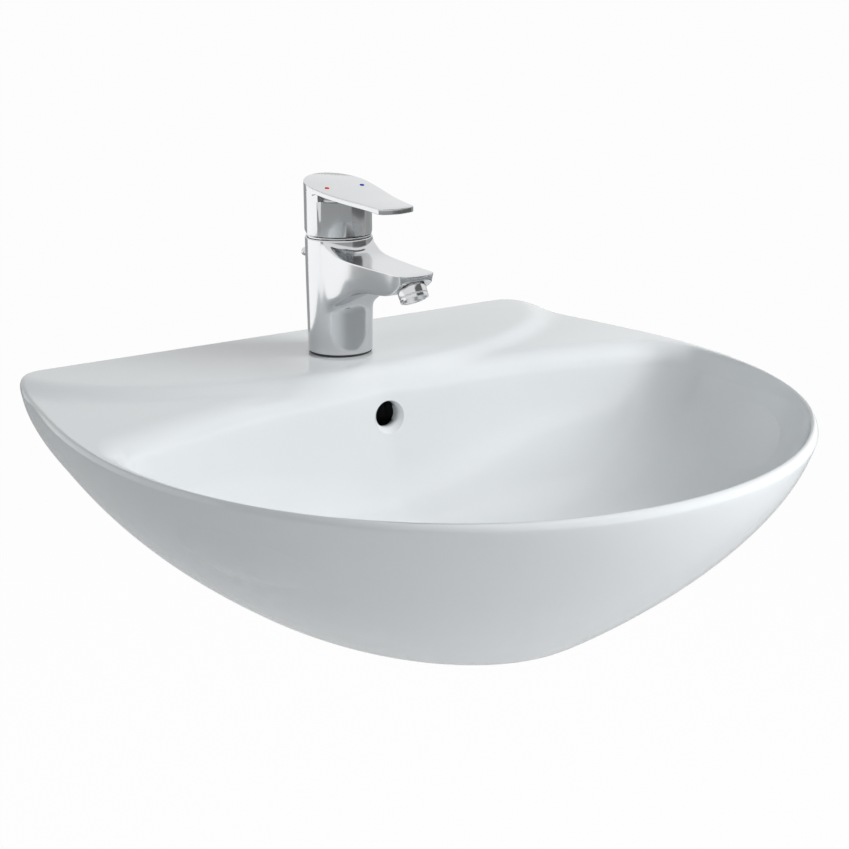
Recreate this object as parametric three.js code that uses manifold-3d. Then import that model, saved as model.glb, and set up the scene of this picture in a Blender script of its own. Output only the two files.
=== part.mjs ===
// Wall-hung ceramic basin with a single-lever mixer and a pop-up waste.
// Millimetres, +Z up. The origin lies on the wall face, on the centre line, at rim height.
// The wall is the plane y = 0 and the basin stands out from it towards -Y.
import * as THREE from 'three';
import { mergeVertices } from 'three/addons/utils/BufferGeometryUtils.js';
import Module from 'manifold-3d';

const wasm = await Module();
wasm.setup();

// Clearances and counts shared by all pieces.
const seatGap = 0.3;
const slideGap = 0.6;
const overrun = 5;
const fineSegments = 36;
const roundSegments = 24;
const smallSegments = 12;
const quarterTurn = Math.PI / 2;

// Basin, plan outline.
const basinHalfWidth = 271;
const basinDepth = 504;
const widestDistance = 202;
const cornerHalfWidth = 252;
const cornerStart = 34;
const cornerRound = 25;
const cornerPullShares = [0.17, 0.4, 0.5];
const frontCurveShare = 0.565;
const sideCurveShare = 0.36;
const frontSteps = 18;
const sideSteps = 5;
const cornerSteps = 3;
const backSteps = 5;

// Basin, outer shell below the rim.
const basinHeight = 160;
const footWidthShare = 0.5;
const footDepthShare = 0.715;
const sideFallPower = 1.62;
const frontFallPower = 1.61;
const shellLevelShares = [0.08, 0.21, 0.37, 0.53, 0.69, 0.84, 0.97];
const footRound = 3;

// Basin, rim and deck.
const rimEdge = 3.6;
const rimWidth = 12;
const rimRoundShares = [[0.3, 0.3], [0.9, 0]];
const deckRise = 6.5;
const deckHalfWidth = 268;
const deckDepth = 155;
const deckFlatShare = 0.9;
const deckEndShare = 1.01;
const deckRingShares = [0.1, 0.2, 0.3, 0.42, 0.56, 0.7, 0.85];
const lipRollShare = 0.6;
const lipRollMost = 26;
const lipDropMost = 18;
const lipRollShares = [1, 0.7, 0.36, 0.1];

// Basin, bowl.
const bowlHalfWidth = 258.5;
const bowlWing = 240;
const bowlDeckEdge = 153;
const bowlWingBackShares = [[1, 0.985], [0.93, 0.845], [0.79, 0.775], [0.55, 0.705], [0.3, 0.665]];
const bowlDepth = 124;
const bowlProfileShares = [
  [1, 0], [0.975, 0.15], [0.925, 0.32], [0.848, 0.49], [0.754, 0.645], [0.648, 0.79], [0.5, 0.905],
  [0.32, 0.965], [0.15, 0.99], [0, 1],
];
const drainDistance = 250;
const drainSeatRadius = 36;
const drainBoreRadius = 22.5;
const drainBossRadius = 37;
const drainBossHeight = 26;

// Basin, hollow back and overflow.
const wall = 12;
const wallFlange = 15;
const deckThickness = 16.5;
const wallNotchHalfWidth = 96;
const wallNotchDrop = 78;
const overflowRadius = 11;
const overflowDrop = 32;
const ductSkin = 9;
const ductThroat = 14;
const ductHalfWidth = 11;
const ductFloorShare = 0.8;
const backWallShares = [0.35, 0.6, 0.8, 0.93];
const spaceLevelShares = [0.06, 0.3, 0.55, 0.8, 1];

// Wall fixing.
const fixingSpacing = 280;
const fixingDrop = 58;
const fixingRoom = 38;
const wallStudRadius = 5;
const wallStudLength = 46;
const bushWall = 2.2;
const bushFlange = 11;
const bushFlangeThickness = 2.5;
const wallWasherRadius = 14;
const wallWasherThickness = 2.5;
const wallNutAcrossFlats = 17;
const wallNutThickness = 8;

// Tap body.
const tapDistance = 85;
const tapHoleRadius = 17.5;
const tapBaseRadius = 26.2;
const tapTopRadius = 27.1;
const gasketThickness = 1.5;
const gasketInnerRadius = 18.8;
const gasketOuterRadius = 25.6;
const tapBodyHeight = 92.4;
const baseHollowRadius = 21;
const baseHollowHeight = 42;
const chamberRadius = 18.2;
const chamberDepth = 39;
const waterwayRadius = 3.6;

// Spout.
const spoutReach = 111;
const spoutRootHalfWidth = 21;
const spoutTopDrop = 14.6;
const spoutThickness = 24;
const spoutTopShares = [
  [0.1, -0.56], [0.147, -0.56], [0.185, -0.38], [0.23, -0.24], [0.3, -0.13], [0.4, -0.075], [0.6, -0.04],
  [0.8, -0.015], [0.98, 0], [1, 0.04],
];
const spoutSideShares = [
  [0, 1], [0.2, 1], [0.42, 0.96], [0.6, 0.885], [0.78, 0.82], [0.9, 0.785], [0.94, 0.765], [0.962, 0.68],
  [0.982, 0.48], [0.996, 0.22],
];
const spoutUnderShares = [
  [1, 0.16], [0.985, 0.25], [0.829, 0.725], [0.78, 0.79], [0.59, 0.85], [0.43, 0.96], [0.35, 1.09],
  [0.285, 1.3], [0.23, 1.6], [0.18, 2.05], [0.15, 2.45], [0.1, 2.45],
];

// Aerator.
const aeratorReach = 105.7;
const aeratorDrop = 34.3;
const aeratorTilt = 30;
const aeratorTopRadius = 11.2;
const aeratorOutletRadius = 11;
const aeratorHeight = 9;
const aeratorThreadRadius = 9.4;
const aeratorThreadLength = 3.6;
const aeratorWall = 1.6;
const aeratorNotches = 2;
const aeratorNotchWidth = 3;
const aeratorNotchDepth = 1.6;
const aeratorWasherThickness = 1.2;
const aeratorInsertThickness = 4;
const aeratorHoleRadius = 1.1;
const aeratorHoleRing = 4.4;
const aeratorHoles = 6;

// Cartridge.
const coverThickness = 1.4;
const coverRadius = 26.3;
const coverOpeningRadius = 13;
const cartridgeRadius = 17.3;
const cartridgeWall = 2.8;
const cartridgeFloor = 2.6;
const cartridgeNutHeight = 6.6;
const cartridgeNutInnerRadius = 9.8;
const fixedDiscThickness = 4;
const discPortRadius = 2.4;
const discPortReach = 7;
const movingDiscRadius = 9.4;
const movingDiscThickness = 5.2;
const movingDiscOffset = 3;
const movingDiscRecess = 3.4;
const rotorFlangeHeight = 10.5;
const rotorNeckRadius = 8.9;
const rotorNeckHeight = 9.6;
const rotorSlotReach = 9.6;
const rotorNeckSlotReach = 5.6;
const spindleHalfWidth = 3;
const spindleHalfDepth = 3.5;
const spindleTipRadius = 2.6;
const spindleRise = 19;
const pivotDrop = 6.5;
const pivotPinRadius = 1.4;
const pivotPinHalfLength = 7.4;

// Lever.
const seam = 0.6;
const leverHubRadius = 27.3;
const leverFrontStep = 0.9;
const leverFrontAngle = 64;
const leverTopRise = 39.4;
const leverFall = 9.6;
const leverTopShares = [
  [1, 1], [0.755, 0.81], [0.52, 0.63], [0.29, 0.39], [0.115, 0.165], [0, 0], [-0.163, -0.27], [-0.34, -0.6],
];
const leverPlateThickness = 4.4;
const leverReach = 86;
const leverTipHalfWidth = 16;
const leverTipBulge = 3.3;
const leverTipRound = 2.4;
const leverSideShares = [0.3, 1, 0.62, 0.96];
const leverSideSteps = 8;
const leverTipSteps = 5;
const leverBackSteps = 12;
const leverNotchDrop = 7;
const leverNotchHeight = 4.6;
const leverNotchDepth = 6;
const leverHollowRadius = 20;
const leverHollowHeight = 6;
const leverLift = 15;
const leverScrewRadius = 2.5;
const leverScrewLength = 12;
const leverScrewRise = 11;
const leverPlugRadius = 3.6;
const leverPlugLength = 3;
const dotSpacing = 32.6;
const dotForward = 9.9;
const dotRadius = 1.6;
const dotDepth = 1;
const dotStand = 0.3;

// Tap fixing under the deck.
const supplyTubeRadius = 5;
const supplyTubeBore = 3.6;
const supplySpacing = 17;
const supplyDrop = 58;
const supplySeatDepth = 6;
const tapStudRadius = 3.6;
const tapStudForward = 9.8;
const tapStudDrop = 48;
const horseshoeRadius = 24;
const horseshoeThickness = 2;
const horseshoeBackOpening = 9;
const tapNutAcrossFlats = 13;
const tapNutThickness = 7;

// Lift rod and strap.
const liftRodRadius = 2.4;
const liftRodBack = 24.4;
const liftRodInset = 12.4;
const liftRodTopDrop = 17;
const liftRodDrop = 72;
const liftRodPinDrop = 20.5;
const liftRodPinLength = 22;
const liftRodPinRadius = 2.2;
const liftRodSteps = 20;
const liftTravel = 15;
const knobRadius = 3.6;
const knobLength = 7;
const knobCap = 1.2;
const rodSides = 8;
const strapWidth = 14;
const strapThickness = 1.6;
const strapReach = 70;
const strapHoles = 3;
const strapHolePitch = 14;
const strapEnd = 11;
const strapHoleRadius = 3.4;
const strapSleeveRadius = 6;
const strapSleeveLength = 14;
const strapScrewShare = 0.6;
const strapScrewRadius = 2.2;
const strapScrewHeadRadius = 4.2;
const strapScrewHeadLength = 6;

// Waste.
const wasteFlangeRadius = 32;
const wasteFlangeThickness = 2.4;
const wasteSealThickness = 1.6;
const wasteSealInset = 2;
const wasteTubeRadius = 21.6;
const wasteBoreRadius = 17.6;
const wasteSlotWidth = 16;
const wasteSlotHeight = 10;
const coneWasherThickness = 7;
const coneWasherRadius = 33;
const coneWasherLowRadius = 27;
const backNutThickness = 8.6;
const backNutAcrossFlats = 58;
const tailRadius = 16;
const tailBore = 13.6;
const tailLength = 15;
const pivotBelowNut = 11;
const bossRadius = 9;
const bossLength = 34;
const bossBore = 6.4;
const ballRadius = 5;
const pivotRodRadius = 2;
const ballReach = 30;
const pivotRodInnerReach = 6;
const pivotRodOuterReach = 84;
const pivotNutRadius = 11;
const pivotNutLength = 8;
const pivotNutLip = 2;
const pivotNutOpening = 4;
const ballSeatThickness = 3;
const ballSeatOpening = 3.6;
const clipSpan = 12;
const clipThickness = 0.8;
const clipHeight = 8;

// Plug.
const plugRadius = 29;
const plugThickness = 4.8;
const plugCapShares = [[0, 0], [0.96, 0], [1, 0.2], [0.8, 0.68], [0.4, 0.92], [0, 1]];
const plugStemRadius = 4;
const plugGuideThickness = 2.4;
const plugEyeRadius = 7.6;
const plugEyeThickness = 5;
const plugEyeBore = 4.2;
const plugSealThickness = 2;

// Finishes.
const glaze = new THREE.MeshStandardMaterial({ color: 0xe6e9ea, roughness: 0.12, metalness: 0 });
const chrome = new THREE.MeshStandardMaterial({ color: 0xc9cccd, roughness: 0.08, metalness: 1 });
const steel = new THREE.MeshStandardMaterial({ color: 0x9a9da0, roughness: 0.35, metalness: 1 });
const brass = new THREE.MeshStandardMaterial({ color: 0xb89a5a, roughness: 0.35, metalness: 1 });
const rubber = new THREE.MeshStandardMaterial({ color: 0x26282a, roughness: 0.8, metalness: 0 });
const whitePlastic = new THREE.MeshStandardMaterial({ color: 0xdcdcd6, roughness: 0.45, metalness: 0 });
const greyPlastic = new THREE.MeshStandardMaterial({ color: 0x6d7174, roughness: 0.5, metalness: 0 });
const discCeramic = new THREE.MeshStandardMaterial({ color: 0xf2efe6, roughness: 0.25, metalness: 0 });
const redMark = new THREE.MeshStandardMaterial({ color: 0xd8281e, roughness: 0.3, metalness: 0 });
const blueMark = new THREE.MeshStandardMaterial({ color: 0x1f4fb4, roughness: 0.3, metalness: 0 });

const product = new THREE.Group();
const radians = THREE.MathUtils.degToRad;

// Turns a closed geometry into a solid that can be cut and joined.
function solid(geometry) {
  const plain = geometry.index ? geometry.clone() : geometry;
  plain.deleteAttribute('normal');
  plain.deleteAttribute('uv');
  const merged = mergeVertices(plain, 1e-4);
  const corners = merged.index.array;
  const faces = [];
  for (let k = 0; k < corners.length; k += 3) {
    const [a, b, c] = corners.slice(k, k + 3);
    if (a !== b && b !== c && c !== a) faces.push(a, b, c);
  }
  return new wasm.Manifold(new wasm.Mesh({
    numProp: 3,
    vertProperties: new Float32Array(merged.attributes.position.array),
    triVerts: new Uint32Array(faces),
  }));
}

// Turns a solid back into a geometry for a mesh.
function geometryOf(body) {
  const mesh = body.getMesh();
  const geometry = new THREE.BufferGeometry();
  geometry.setAttribute('position', new THREE.BufferAttribute(new Float32Array(mesh.vertProperties), 3));
  geometry.setIndex(new THREE.BufferAttribute(new Uint32Array(mesh.triVerts), 1));
  return geometry;
}

// Adds one named piece to a group.
function piece(name, body, material, parent = product) {
  const mesh = new THREE.Mesh(geometryOf(body), material);
  mesh.name = name;
  parent.add(mesh);
  return mesh;
}

// Revolves a closed profile of [radius, height] pairs about Z.
function turned(profile, segments = roundSegments) {
  const points = profile.map(([radius, height]) => new THREE.Vector2(radius, height));
  const geometry = new THREE.LatheGeometry(points, segments);
  geometry.rotateX(quarterTurn);
  return solid(geometry);
}

// A ring or disc between two heights.
function ring(outer, inner, low, high, segments = roundSegments) {
  const side = [[outer, low], [outer, high]];
  const profile = inner > 0
    ? [...side, [inner, high], [inner, low], side[0]]
    : [[0, low], ...side, [0, high]];
  return turned(profile, segments);
}

// A round bar of given radius from one point to another.
function bar(radius, from, to, segments = smallSegments) {
  const start = new THREE.Vector3(...from);
  const end = new THREE.Vector3(...to);
  const geometry = new THREE.CylinderGeometry(radius, radius, start.distanceTo(end), segments);
  const turn = new THREE.Quaternion().setFromUnitVectors(
    new THREE.Vector3(0, 1, 0), end.clone().sub(start).normalize());
  geometry.applyQuaternion(turn);
  const middle = start.add(end).multiplyScalar(0.5);
  geometry.translate(middle.x, middle.y, middle.z);
  return solid(geometry);
}

// A box between two corners.
function block(low, high) {
  const size = high.map((value, axis) => value - low[axis]);
  const geometry = new THREE.BoxGeometry(...size);
  geometry.translate(...low.map((value, axis) => value + size[axis] / 2));
  return solid(geometry);
}

// A closed outline of [x, y] points raised from one height to another.
function raised(outline, low, high) {
  const shape = new THREE.Shape(outline.map(([x, y]) => new THREE.Vector2(x, y)));
  const geometry = new THREE.ExtrudeGeometry(shape, { depth: high - low, bevelEnabled: false });
  geometry.translate(0, 0, low);
  return solid(geometry);
}

// A closed side outline of [y, z] points, as wide as given to both sides of the centre plane.
function sided(outline, halfWidth) {
  const shape = new THREE.Shape(outline.map(([y, z]) => new THREE.Vector2(y, z)));
  const geometry = new THREE.ExtrudeGeometry(shape, { depth: 2 * halfWidth, bevelEnabled: false });
  geometry.translate(0, 0, -halfWidth);
  geometry.applyMatrix4(new THREE.Matrix4().makeBasis(
    new THREE.Vector3(0, 1, 0), new THREE.Vector3(0, 0, 1), new THREE.Vector3(1, 0, 0)));
  return solid(geometry);
}

// A hexagon nut body about Z with a round hole.
function hexNut(acrossFlats, bore, low, high) {
  const corner = acrossFlats / Math.sqrt(3);
  return ring(corner, 0, low, high, 6).subtract(ring(bore, 0, low - overrun, high + overrun, smallSegments));
}

// Turns a solid by a rotation about one axis through a point.
function turnedAbout(body, axis, angle, through) {
  const geometry = geometryOf(body);
  geometry.translate(...through.map((value) => -value));
  geometry.applyQuaternion(new THREE.Quaternion().setFromAxisAngle(new THREE.Vector3(...axis), angle));
  geometry.translate(...through);
  return solid(geometry);
}

function moved(body, offset) {
  const geometry = geometryOf(body);
  geometry.translate(...offset);
  return solid(geometry);
}

// Samples one cubic curve, leaving out its last point.
function curvePoints(from, firstPull, secondPull, to, steps) {
  const curve = new THREE.CubicBezierCurve(...[from, firstPull, secondPull, to].map(
    ([x, y]) => new THREE.Vector2(x, y)));
  return curve.getPoints(steps).slice(0, -1).map((point) => [point.x, point.y]);
}

// Half of the rim outline, from the front centre round to the back centre, wall side at y = 0.
function rimHalf() {
  const side = [basinHalfWidth, -widestDistance];
  const corner = [cornerHalfWidth, -cornerStart];
  const backEnd = [cornerHalfWidth - cornerRound, 0];
  const front = basinDepth - widestDistance;
  const sideReach = widestDistance - cornerStart;
  const [sidePull, wallPull, endPull] = cornerPullShares;
  const backLine = Array.from({ length: backSteps + 1 }, (_, k) => [backEnd[0] * (1 - k / backSteps), 0]);
  return [
    ...curvePoints([0, -basinDepth], [basinHalfWidth * frontCurveShare, -basinDepth],
      [basinHalfWidth, -widestDistance - front * frontCurveShare], side, frontSteps),
    ...curvePoints(side, [basinHalfWidth, side[1] + sideReach * sideCurveShare],
      [corner[0] + cornerRound * sideCurveShare, corner[1] - sideReach * sideCurveShare], corner, sideSteps),
    ...curvePoints(corner, [corner[0] - cornerRound * sidePull, -cornerStart * wallPull],
      [backEnd[0] + cornerRound * endPull, 0], backEnd, cornerSteps),
    ...backLine,
  ];
}

// Half of the bowl's lip, point for point beside the rim: the front follows the rim inside its width,
// and the back crosses in front of the deck.
function lipHalf() {
  const wing = [bowlHalfWidth, -bowlWing];
  const frontReach = basinDepth - rimWidth - bowlWing;
  const front = curvePoints([0, rimWidth - basinDepth],
    [bowlHalfWidth * frontCurveShare, rimWidth - basinDepth],
    [bowlHalfWidth, wing[1] - frontReach * frontCurveShare], wing, frontSteps);
  const back = new THREE.SplineCurve([
    ...bowlWingBackShares.map(([x, y]) => new THREE.Vector2(bowlHalfWidth * x, -bowlWing * y)),
    new THREE.Vector2(0, -bowlDeckEdge),
  ]);
  const backPoints = back.getSpacedPoints(sideSteps + cornerSteps + backSteps);
  return [...front, ...backPoints.map((point) => [point.x, point.y])];
}

function mirrored(half) {
  return [...half, ...half.slice(1, -1).reverse().map(([x, y]) => [-x, y])];
}

// How far the shell has drawn in at a depth below the rim.
const sideScale = (depth) => 1 - (1 - footWidthShare) * (depth / basinHeight) ** sideFallPower;
const frontScale = (depth) => 1 - (1 - footDepthShare) * (depth / basinHeight) ** frontFallPower;

// Height of the raised deck over any point of the plan.
function deckHeight(x, y) {
  const reach = Math.hypot(x / deckHalfWidth, y / deckDepth);
  return deckRise * (1 - THREE.MathUtils.smoothstep(reach, deckFlatShare, deckEndShare));
}

// Joins closed rings of equally many points into one closed solid with flat ends.
function lofted(rings) {
  const count = rings[0].length;
  const middle = (points) => points.reduce(
    (sum, point) => sum.add(new THREE.Vector3(...point)), new THREE.Vector3()).divideScalar(count);
  const positions = [...rings.flat(2), ...middle(rings[0]).toArray(), ...middle(rings.at(-1)).toArray()];
  const faces = [];
  const firstMiddle = rings.length * count;
  for (let k = 0; k < count; k += 1) {
    const next = (k + 1) % count;
    faces.push(firstMiddle, next, k);
    for (let level = 0; level + 1 < rings.length; level += 1) {
      const below = level * count;
      const above = below + count;
      faces.push(below + k, below + next, above + next, below + k, above + next, above + k);
    }
    const last = (rings.length - 1) * count;
    faces.push(firstMiddle + 1, last + k, last + next);
  }
  const geometry = new THREE.BufferGeometry();
  geometry.setAttribute('position', new THREE.Float32BufferAttribute(positions, 3));
  geometry.setIndex(faces);
  return solid(geometry);
}

const rim = mirrored(rimHalf());
const lip = mirrored(lipHalf());
const mix = (from, to, share) => from + (to - from) * share;

// Rings of the outer shell, from the foot up to the rim edge.
function shellRings() {
  const foot = rim.map(([x, y]) => [
    x * (footWidthShare - footRound / basinHalfWidth), y * (footDepthShare - footRound / basinDepth),
    -basinHeight]);
  const levels = [...shellLevelShares].reverse().map((share) => {
    const depth = rimEdge + (basinHeight - rimEdge) * share;
    return rim.map(([x, y]) => [x * sideScale(depth), y * frontScale(depth), -depth]);
  });
  return [foot, ...levels, rim.map(([x, y]) => [x, y, deckHeight(x, y) - rimEdge])];
}

// Rings over the rim and the deck to the bowl's lip. The roll into the bowl is wide at the deck
// and narrow at the front and the sides.
function topRings() {
  const edges = rimRoundShares.map(([inset, fall]) => rim.map(([x, y], k) => {
    const width = Math.hypot(lip[k][0] - x, lip[k][1] - y);
    const share = (rimEdge * inset) / width;
    const px = mix(x, lip[k][0], share);
    const py = mix(y, lip[k][1], share);
    return [px, py, deckHeight(px, py) - rimEdge * fall];
  }));
  const roll = rim.map(([x, y], k) => {
    const width = Math.hypot(lip[k][0] - x, lip[k][1] - y);
    return { width, reach: Math.min(width * lipRollShare, lipRollMost) };
  });
  const place = (k, fromLip) => {
    const share = 1 - fromLip / roll[k].width;
    return [mix(rim[k][0], lip[k][0], share), mix(rim[k][1], lip[k][1], share)];
  };
  const deck = deckRingShares.map((share) => rim.map((_, k) => {
    const start = roll[k].width - rimEdge * rimRoundShares.at(-1)[0];
    const [x, y] = place(k, mix(start, roll[k].reach, share));
    return [x, y, deckHeight(x, y)];
  }));
  const rolled = lipRollShares.map((share) => rim.map((_, k) => {
    const [x, y] = place(k, roll[k].reach * share);
    const fall = Math.min(roll[k].reach, lipDropMost) * (1 - Math.sqrt(1 - (1 - share) ** 2));
    return [x, y, deckHeight(x, y) - fall];
  }));
  return [...edges, ...deck, ...rolled];
}

// Depth of the bowl's lip at one point of the outline.
function lipDepth(k) {
  const width = Math.hypot(lip[k][0] - rim[k][0], lip[k][1] - rim[k][1]);
  return Math.min(width * lipRollShare, lipRollMost, lipDropMost);
}

// Rings of the bowl, from its lip down to the flat seat of the waste.
function bowlRings() {
  const seat = lip.map(([x, y]) => {
    const angle = Math.atan2(y + drainDistance, x);
    return [drainSeatRadius * Math.cos(angle), drainSeatRadius * Math.sin(angle) - drainDistance];
  });
  return bowlProfileShares.map(([scale, fall]) => lip.map(([x, y], k) => [
    mix(seat[k][0], x, scale),
    mix(seat[k][1], y, scale),
    -mix(lipDepth(k), bowlDepth, fall),
  ]));
}

// Distance of the bowl's back surface from the wall at a depth, on the centre line.
function bowlBack(depth) {
  const at = bowlProfileShares.map(([scale, fall]) => [
    mix(drainDistance - drainSeatRadius, bowlDeckEdge, scale), mix(lipDropMost, bowlDepth, fall)]);
  const next = Math.max(1, at.findIndex(([, fall]) => fall >= depth));
  const [from, to] = [at[next - 1], at[next]];
  return mix(from[0], to[0], Math.max(0, (depth - from[1]) / (to[1] - from[1])));
}

// The basin's inside behind and below the bowl, open at the foot and towards the wall.
function plumbingSpace() {
  const inner = spaceLevelShares.map((share) => {
    const depth = basinHeight * share;
    const widthShare = sideScale(depth) - wall / basinHalfWidth;
    const front = frontScale(depth) * basinDepth - wall;
    return rim.map(([x, y]) => [
      x * widthShare, -wallFlange + (y / basinDepth) * (front - wallFlange), -depth]);
  });
  const low = inner.at(-1).map(([x, y]) => [x, y, -basinHeight - overrun]);
  const shellInside = lofted([low, ...inner.reverse()]);
  const under = deckRise - deckThickness;
  const ceiling = -bowlDepth - wall;
  const backWall = backWallShares.map((share) => {
    const depth = bowlDepth * share;
    return [-bowlBack(depth) + wall, -depth];
  });
  const outline = [
    [-wallFlange, -basinHeight - overrun], [-wallFlange, under], [-bowlDeckEdge + 2 * wall, under],
    ...backWall, [-bowlBack(bowlDepth) + 2 * wall, ceiling],
    [-basinDepth, ceiling], [-basinDepth, -basinHeight - overrun],
  ];
  return shellInside.intersect(sided([...outline].reverse(), fixingSpacing / 2 + fixingRoom));
}

// Side outline of a band that follows the bowl's back and then runs to the drain below the bowl.
function ductOutline(front, back, top, skin) {
  const along = (offset) => backWallShares.map((share) => [
    -bowlBack(bowlDepth * share) + offset, -bowlDepth * share]);
  const down = along(front);
  const up = along(back).reverse();
  const turn = -bowlBack(bowlDepth);
  return [
    [-bowlBack(top) + back, -top], [-bowlBack(top) + front, -top], ...down,
    [turn + front, -bowlDepth - skin], [-drainDistance, -bowlDepth - skin],
    [-drainDistance, -bowlDepth - drainBossHeight + skin],
    [turn + back, -bowlDepth - drainBossHeight + skin], ...up,
  ];
}

function makeBasin() {
  const shell = lofted([...shellRings(), ...topRings(), ...bowlRings()]);
  const boss = moved(ring(drainBossRadius, 0, -drainBossHeight, -wall / 2), [0, -drainDistance, -bowlDepth]);
  const ribOutline = ductOutline(ductSkin / 2, 2 * ductSkin + ductThroat, deckThickness / 2, 0);
  const rib = sided(ribOutline, ductHalfWidth + ductSkin);
  const ductTop = overflowDrop - overflowRadius;
  const duct = sided(
    ductOutline(ductSkin, ductSkin + ductThroat, ductTop, ductSkin * ductFloorShare), ductHalfWidth);
  const overflowFace = -bowlBack(overflowDrop);
  const overflow = bar(overflowRadius, [0, overflowFace - 2 * ductSkin, -overflowDrop],
    [0, overflowFace + ductSkin + ductThroat / 2, -overflowDrop], roundSegments);
  const bore = moved(
    ring(drainBoreRadius, 0, -drainBossHeight - overrun, overrun), [0, -drainDistance, -bowlDepth]);
  const tapHole = moved(
    ring(tapHoleRadius, 0, -deckThickness - overrun, overrun), [0, -tapDistance, deckRise]);
  const notch = block([-wallNotchHalfWidth, -wallFlange - overrun, -basinHeight - overrun],
    [wallNotchHalfWidth, overrun, -wallNotchDrop]);
  const fixings = [-1, 1].map((side) => bar(wallStudRadius + bushWall + 2 * seatGap,
    [side * fixingSpacing / 2, -wallFlange - overrun, -fixingDrop],
    [side * fixingSpacing / 2, overrun, -fixingDrop]));
  const carved = shell.subtract(plumbingSpace()).add(rib).add(boss);
  const cuts = [duct, overflow, bore, tapHole, notch, ...fixings];
  return cuts.reduce((body, cut) => body.subtract(cut), carved);
}
piece('basin', makeBasin(), glaze);

// Wall fixing: a stud from the wall, a bush in the ceramic, a washer and a nut on each side.
function makeWallFixing(side, label) {
  const place = (body) => moved(
    turnedAbout(body, [1, 0, 0], quarterTurn, [0, 0, 0]), [side * fixingSpacing / 2, 0, -fixingDrop]);
  const bushEnd = wallFlange + seatGap;
  const washerStart = bushEnd + bushFlangeThickness + seatGap;
  const nutStart = washerStart + wallWasherThickness + seatGap;
  const innerRadius = wallStudRadius + seatGap;
  piece(`wall_stud_${label}`, place(ring(wallStudRadius, 0, seatGap, wallStudLength, smallSegments)), steel);
  const bushProfile = [
    [innerRadius, seatGap], [innerRadius + bushWall, seatGap], [innerRadius + bushWall, bushEnd],
    [bushFlange, bushEnd], [bushFlange, bushEnd + bushFlangeThickness],
    [innerRadius, bushEnd + bushFlangeThickness], [innerRadius, seatGap],
  ];
  piece(`wall_bush_${label}`, place(turned(bushProfile, smallSegments)), whitePlastic);
  const washerEnd = washerStart + wallWasherThickness;
  piece(`wall_washer_${label}`, place(
    ring(wallWasherRadius, innerRadius, washerStart, washerEnd, smallSegments)), steel);
  piece(`wall_nut_${label}`, place(
    hexNut(wallNutAcrossFlats, innerRadius, nutStart, nutStart + wallNutThickness)), steel);
}
makeWallFixing(-1, 'left');
makeWallFixing(1, 'right');

// The tap is built about its own axis, with z = 0 on the deck.
const tap = new THREE.Group();
tap.position.set(0, -tapDistance, deckRise);
product.add(tap);

const bodyBottom = 2 * seatGap + gasketThickness;
const bodyTop = bodyBottom + tapBodyHeight;
const chamberFloor = bodyTop - chamberDepth;
const hollowTop = bodyBottom + baseHollowHeight;
piece('base_gasket', ring(gasketOuterRadius, gasketInnerRadius, seatGap, seatGap + gasketThickness),
  rubber, tap);

// Side outline of the spout: top from the body to the tip, then the underside and the neck.
function spoutOutline() {
  const topHeight = bodyTop - spoutTopDrop;
  return [...spoutTopShares, ...spoutUnderShares].map(([reach, drop]) => [
    -spoutReach * reach, topHeight - spoutThickness * drop]);
}

function makeTapBody() {
  const outer = turned([
    [0, bodyBottom], [tapBaseRadius, bodyBottom], [tapTopRadius, bodyTop - tapBaseRadius],
    [tapTopRadius, bodyTop - seam], [tapTopRadius - seam, bodyTop], [0, bodyTop],
  ], fineSegments);
  const edge = spoutSideShares.map(([reach, width]) => [spoutRootHalfWidth * width, -spoutReach * reach]);
  const plan = [...edge, ...[...edge].reverse().map(([x, y]) => [-x, y])];
  const spout = sided(spoutOutline(), spoutRootHalfWidth + overrun)
    .intersect(raised(plan, bodyBottom, bodyTop + overrun));
  const chamber = ring(chamberRadius, 0, chamberFloor, bodyTop + overrun);
  const hollow = ring(baseHollowRadius, 0, bodyBottom - overrun, hollowTop);
  const rodRoom = liftRodRadius + slideGap;
  const rodGroove = block([-rodRoom, liftRodBack - rodRoom, bodyBottom - overrun],
    [rodRoom, tapTopRadius + overrun, bodyTop + overrun]);
  const rodPocket = block([-rodRoom, liftRodInset - rodRoom, bodyBottom - overrun],
    [rodRoom, tapTopRadius, hollowTop]);
  const feeds = [-1, 1].flatMap((side) => {
    const x = side * supplySpacing / 2;
    return [
      bar(supplyTubeRadius + seatGap, [x, 0, hollowTop - overrun], [x, 0, hollowTop + supplySeatDepth]),
      bar(waterwayRadius, [x, 0, hollowTop], [x, 0, chamberFloor + overrun]),
    ];
  });
  const studSeat = bar(tapStudRadius + seatGap, [0, -tapStudForward, hollowTop - overrun],
    [0, -tapStudForward, hollowTop + supplySeatDepth]);
  const outlet = aeratorPoint(aeratorHeight + aeratorThreadLength);
  const waterway = bar(waterwayRadius, [0, -chamberRadius + overrun, outlet[2]], outlet);
  const socket = bar(aeratorThreadRadius + seatGap, aeratorPoint(aeratorHeight - overrun),
    aeratorPoint(aeratorHeight + aeratorThreadLength + aeratorWasherThickness + 2 * seatGap), roundSegments);
  const face = bar(aeratorTopRadius + slideGap, aeratorPoint(-overrun), aeratorPoint(aeratorHeight + seatGap),
    roundSegments);
  const cuts = [chamber, hollow, rodGroove, rodPocket, ...feeds, studSeat, waterway, socket, face];
  return cuts.reduce((body, cut) => body.subtract(cut), outer.add(spout));
}

// A point on the aerator's axis, measured up from the outlet.
function aeratorPoint(rise) {
  const tilt = radians(aeratorTilt);
  return [0, -aeratorReach + rise * Math.sin(tilt), bodyTop - aeratorDrop + rise * Math.cos(tilt)];
}
piece('tap_body', makeTapBody(), chrome, tap);

// Aerator, built upright at its outlet and then tilted with the spout end.
const aerator = new THREE.Group();
aerator.position.set(...aeratorPoint(0));
aerator.rotation.x = -radians(aeratorTilt);
tap.add(aerator);

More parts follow.
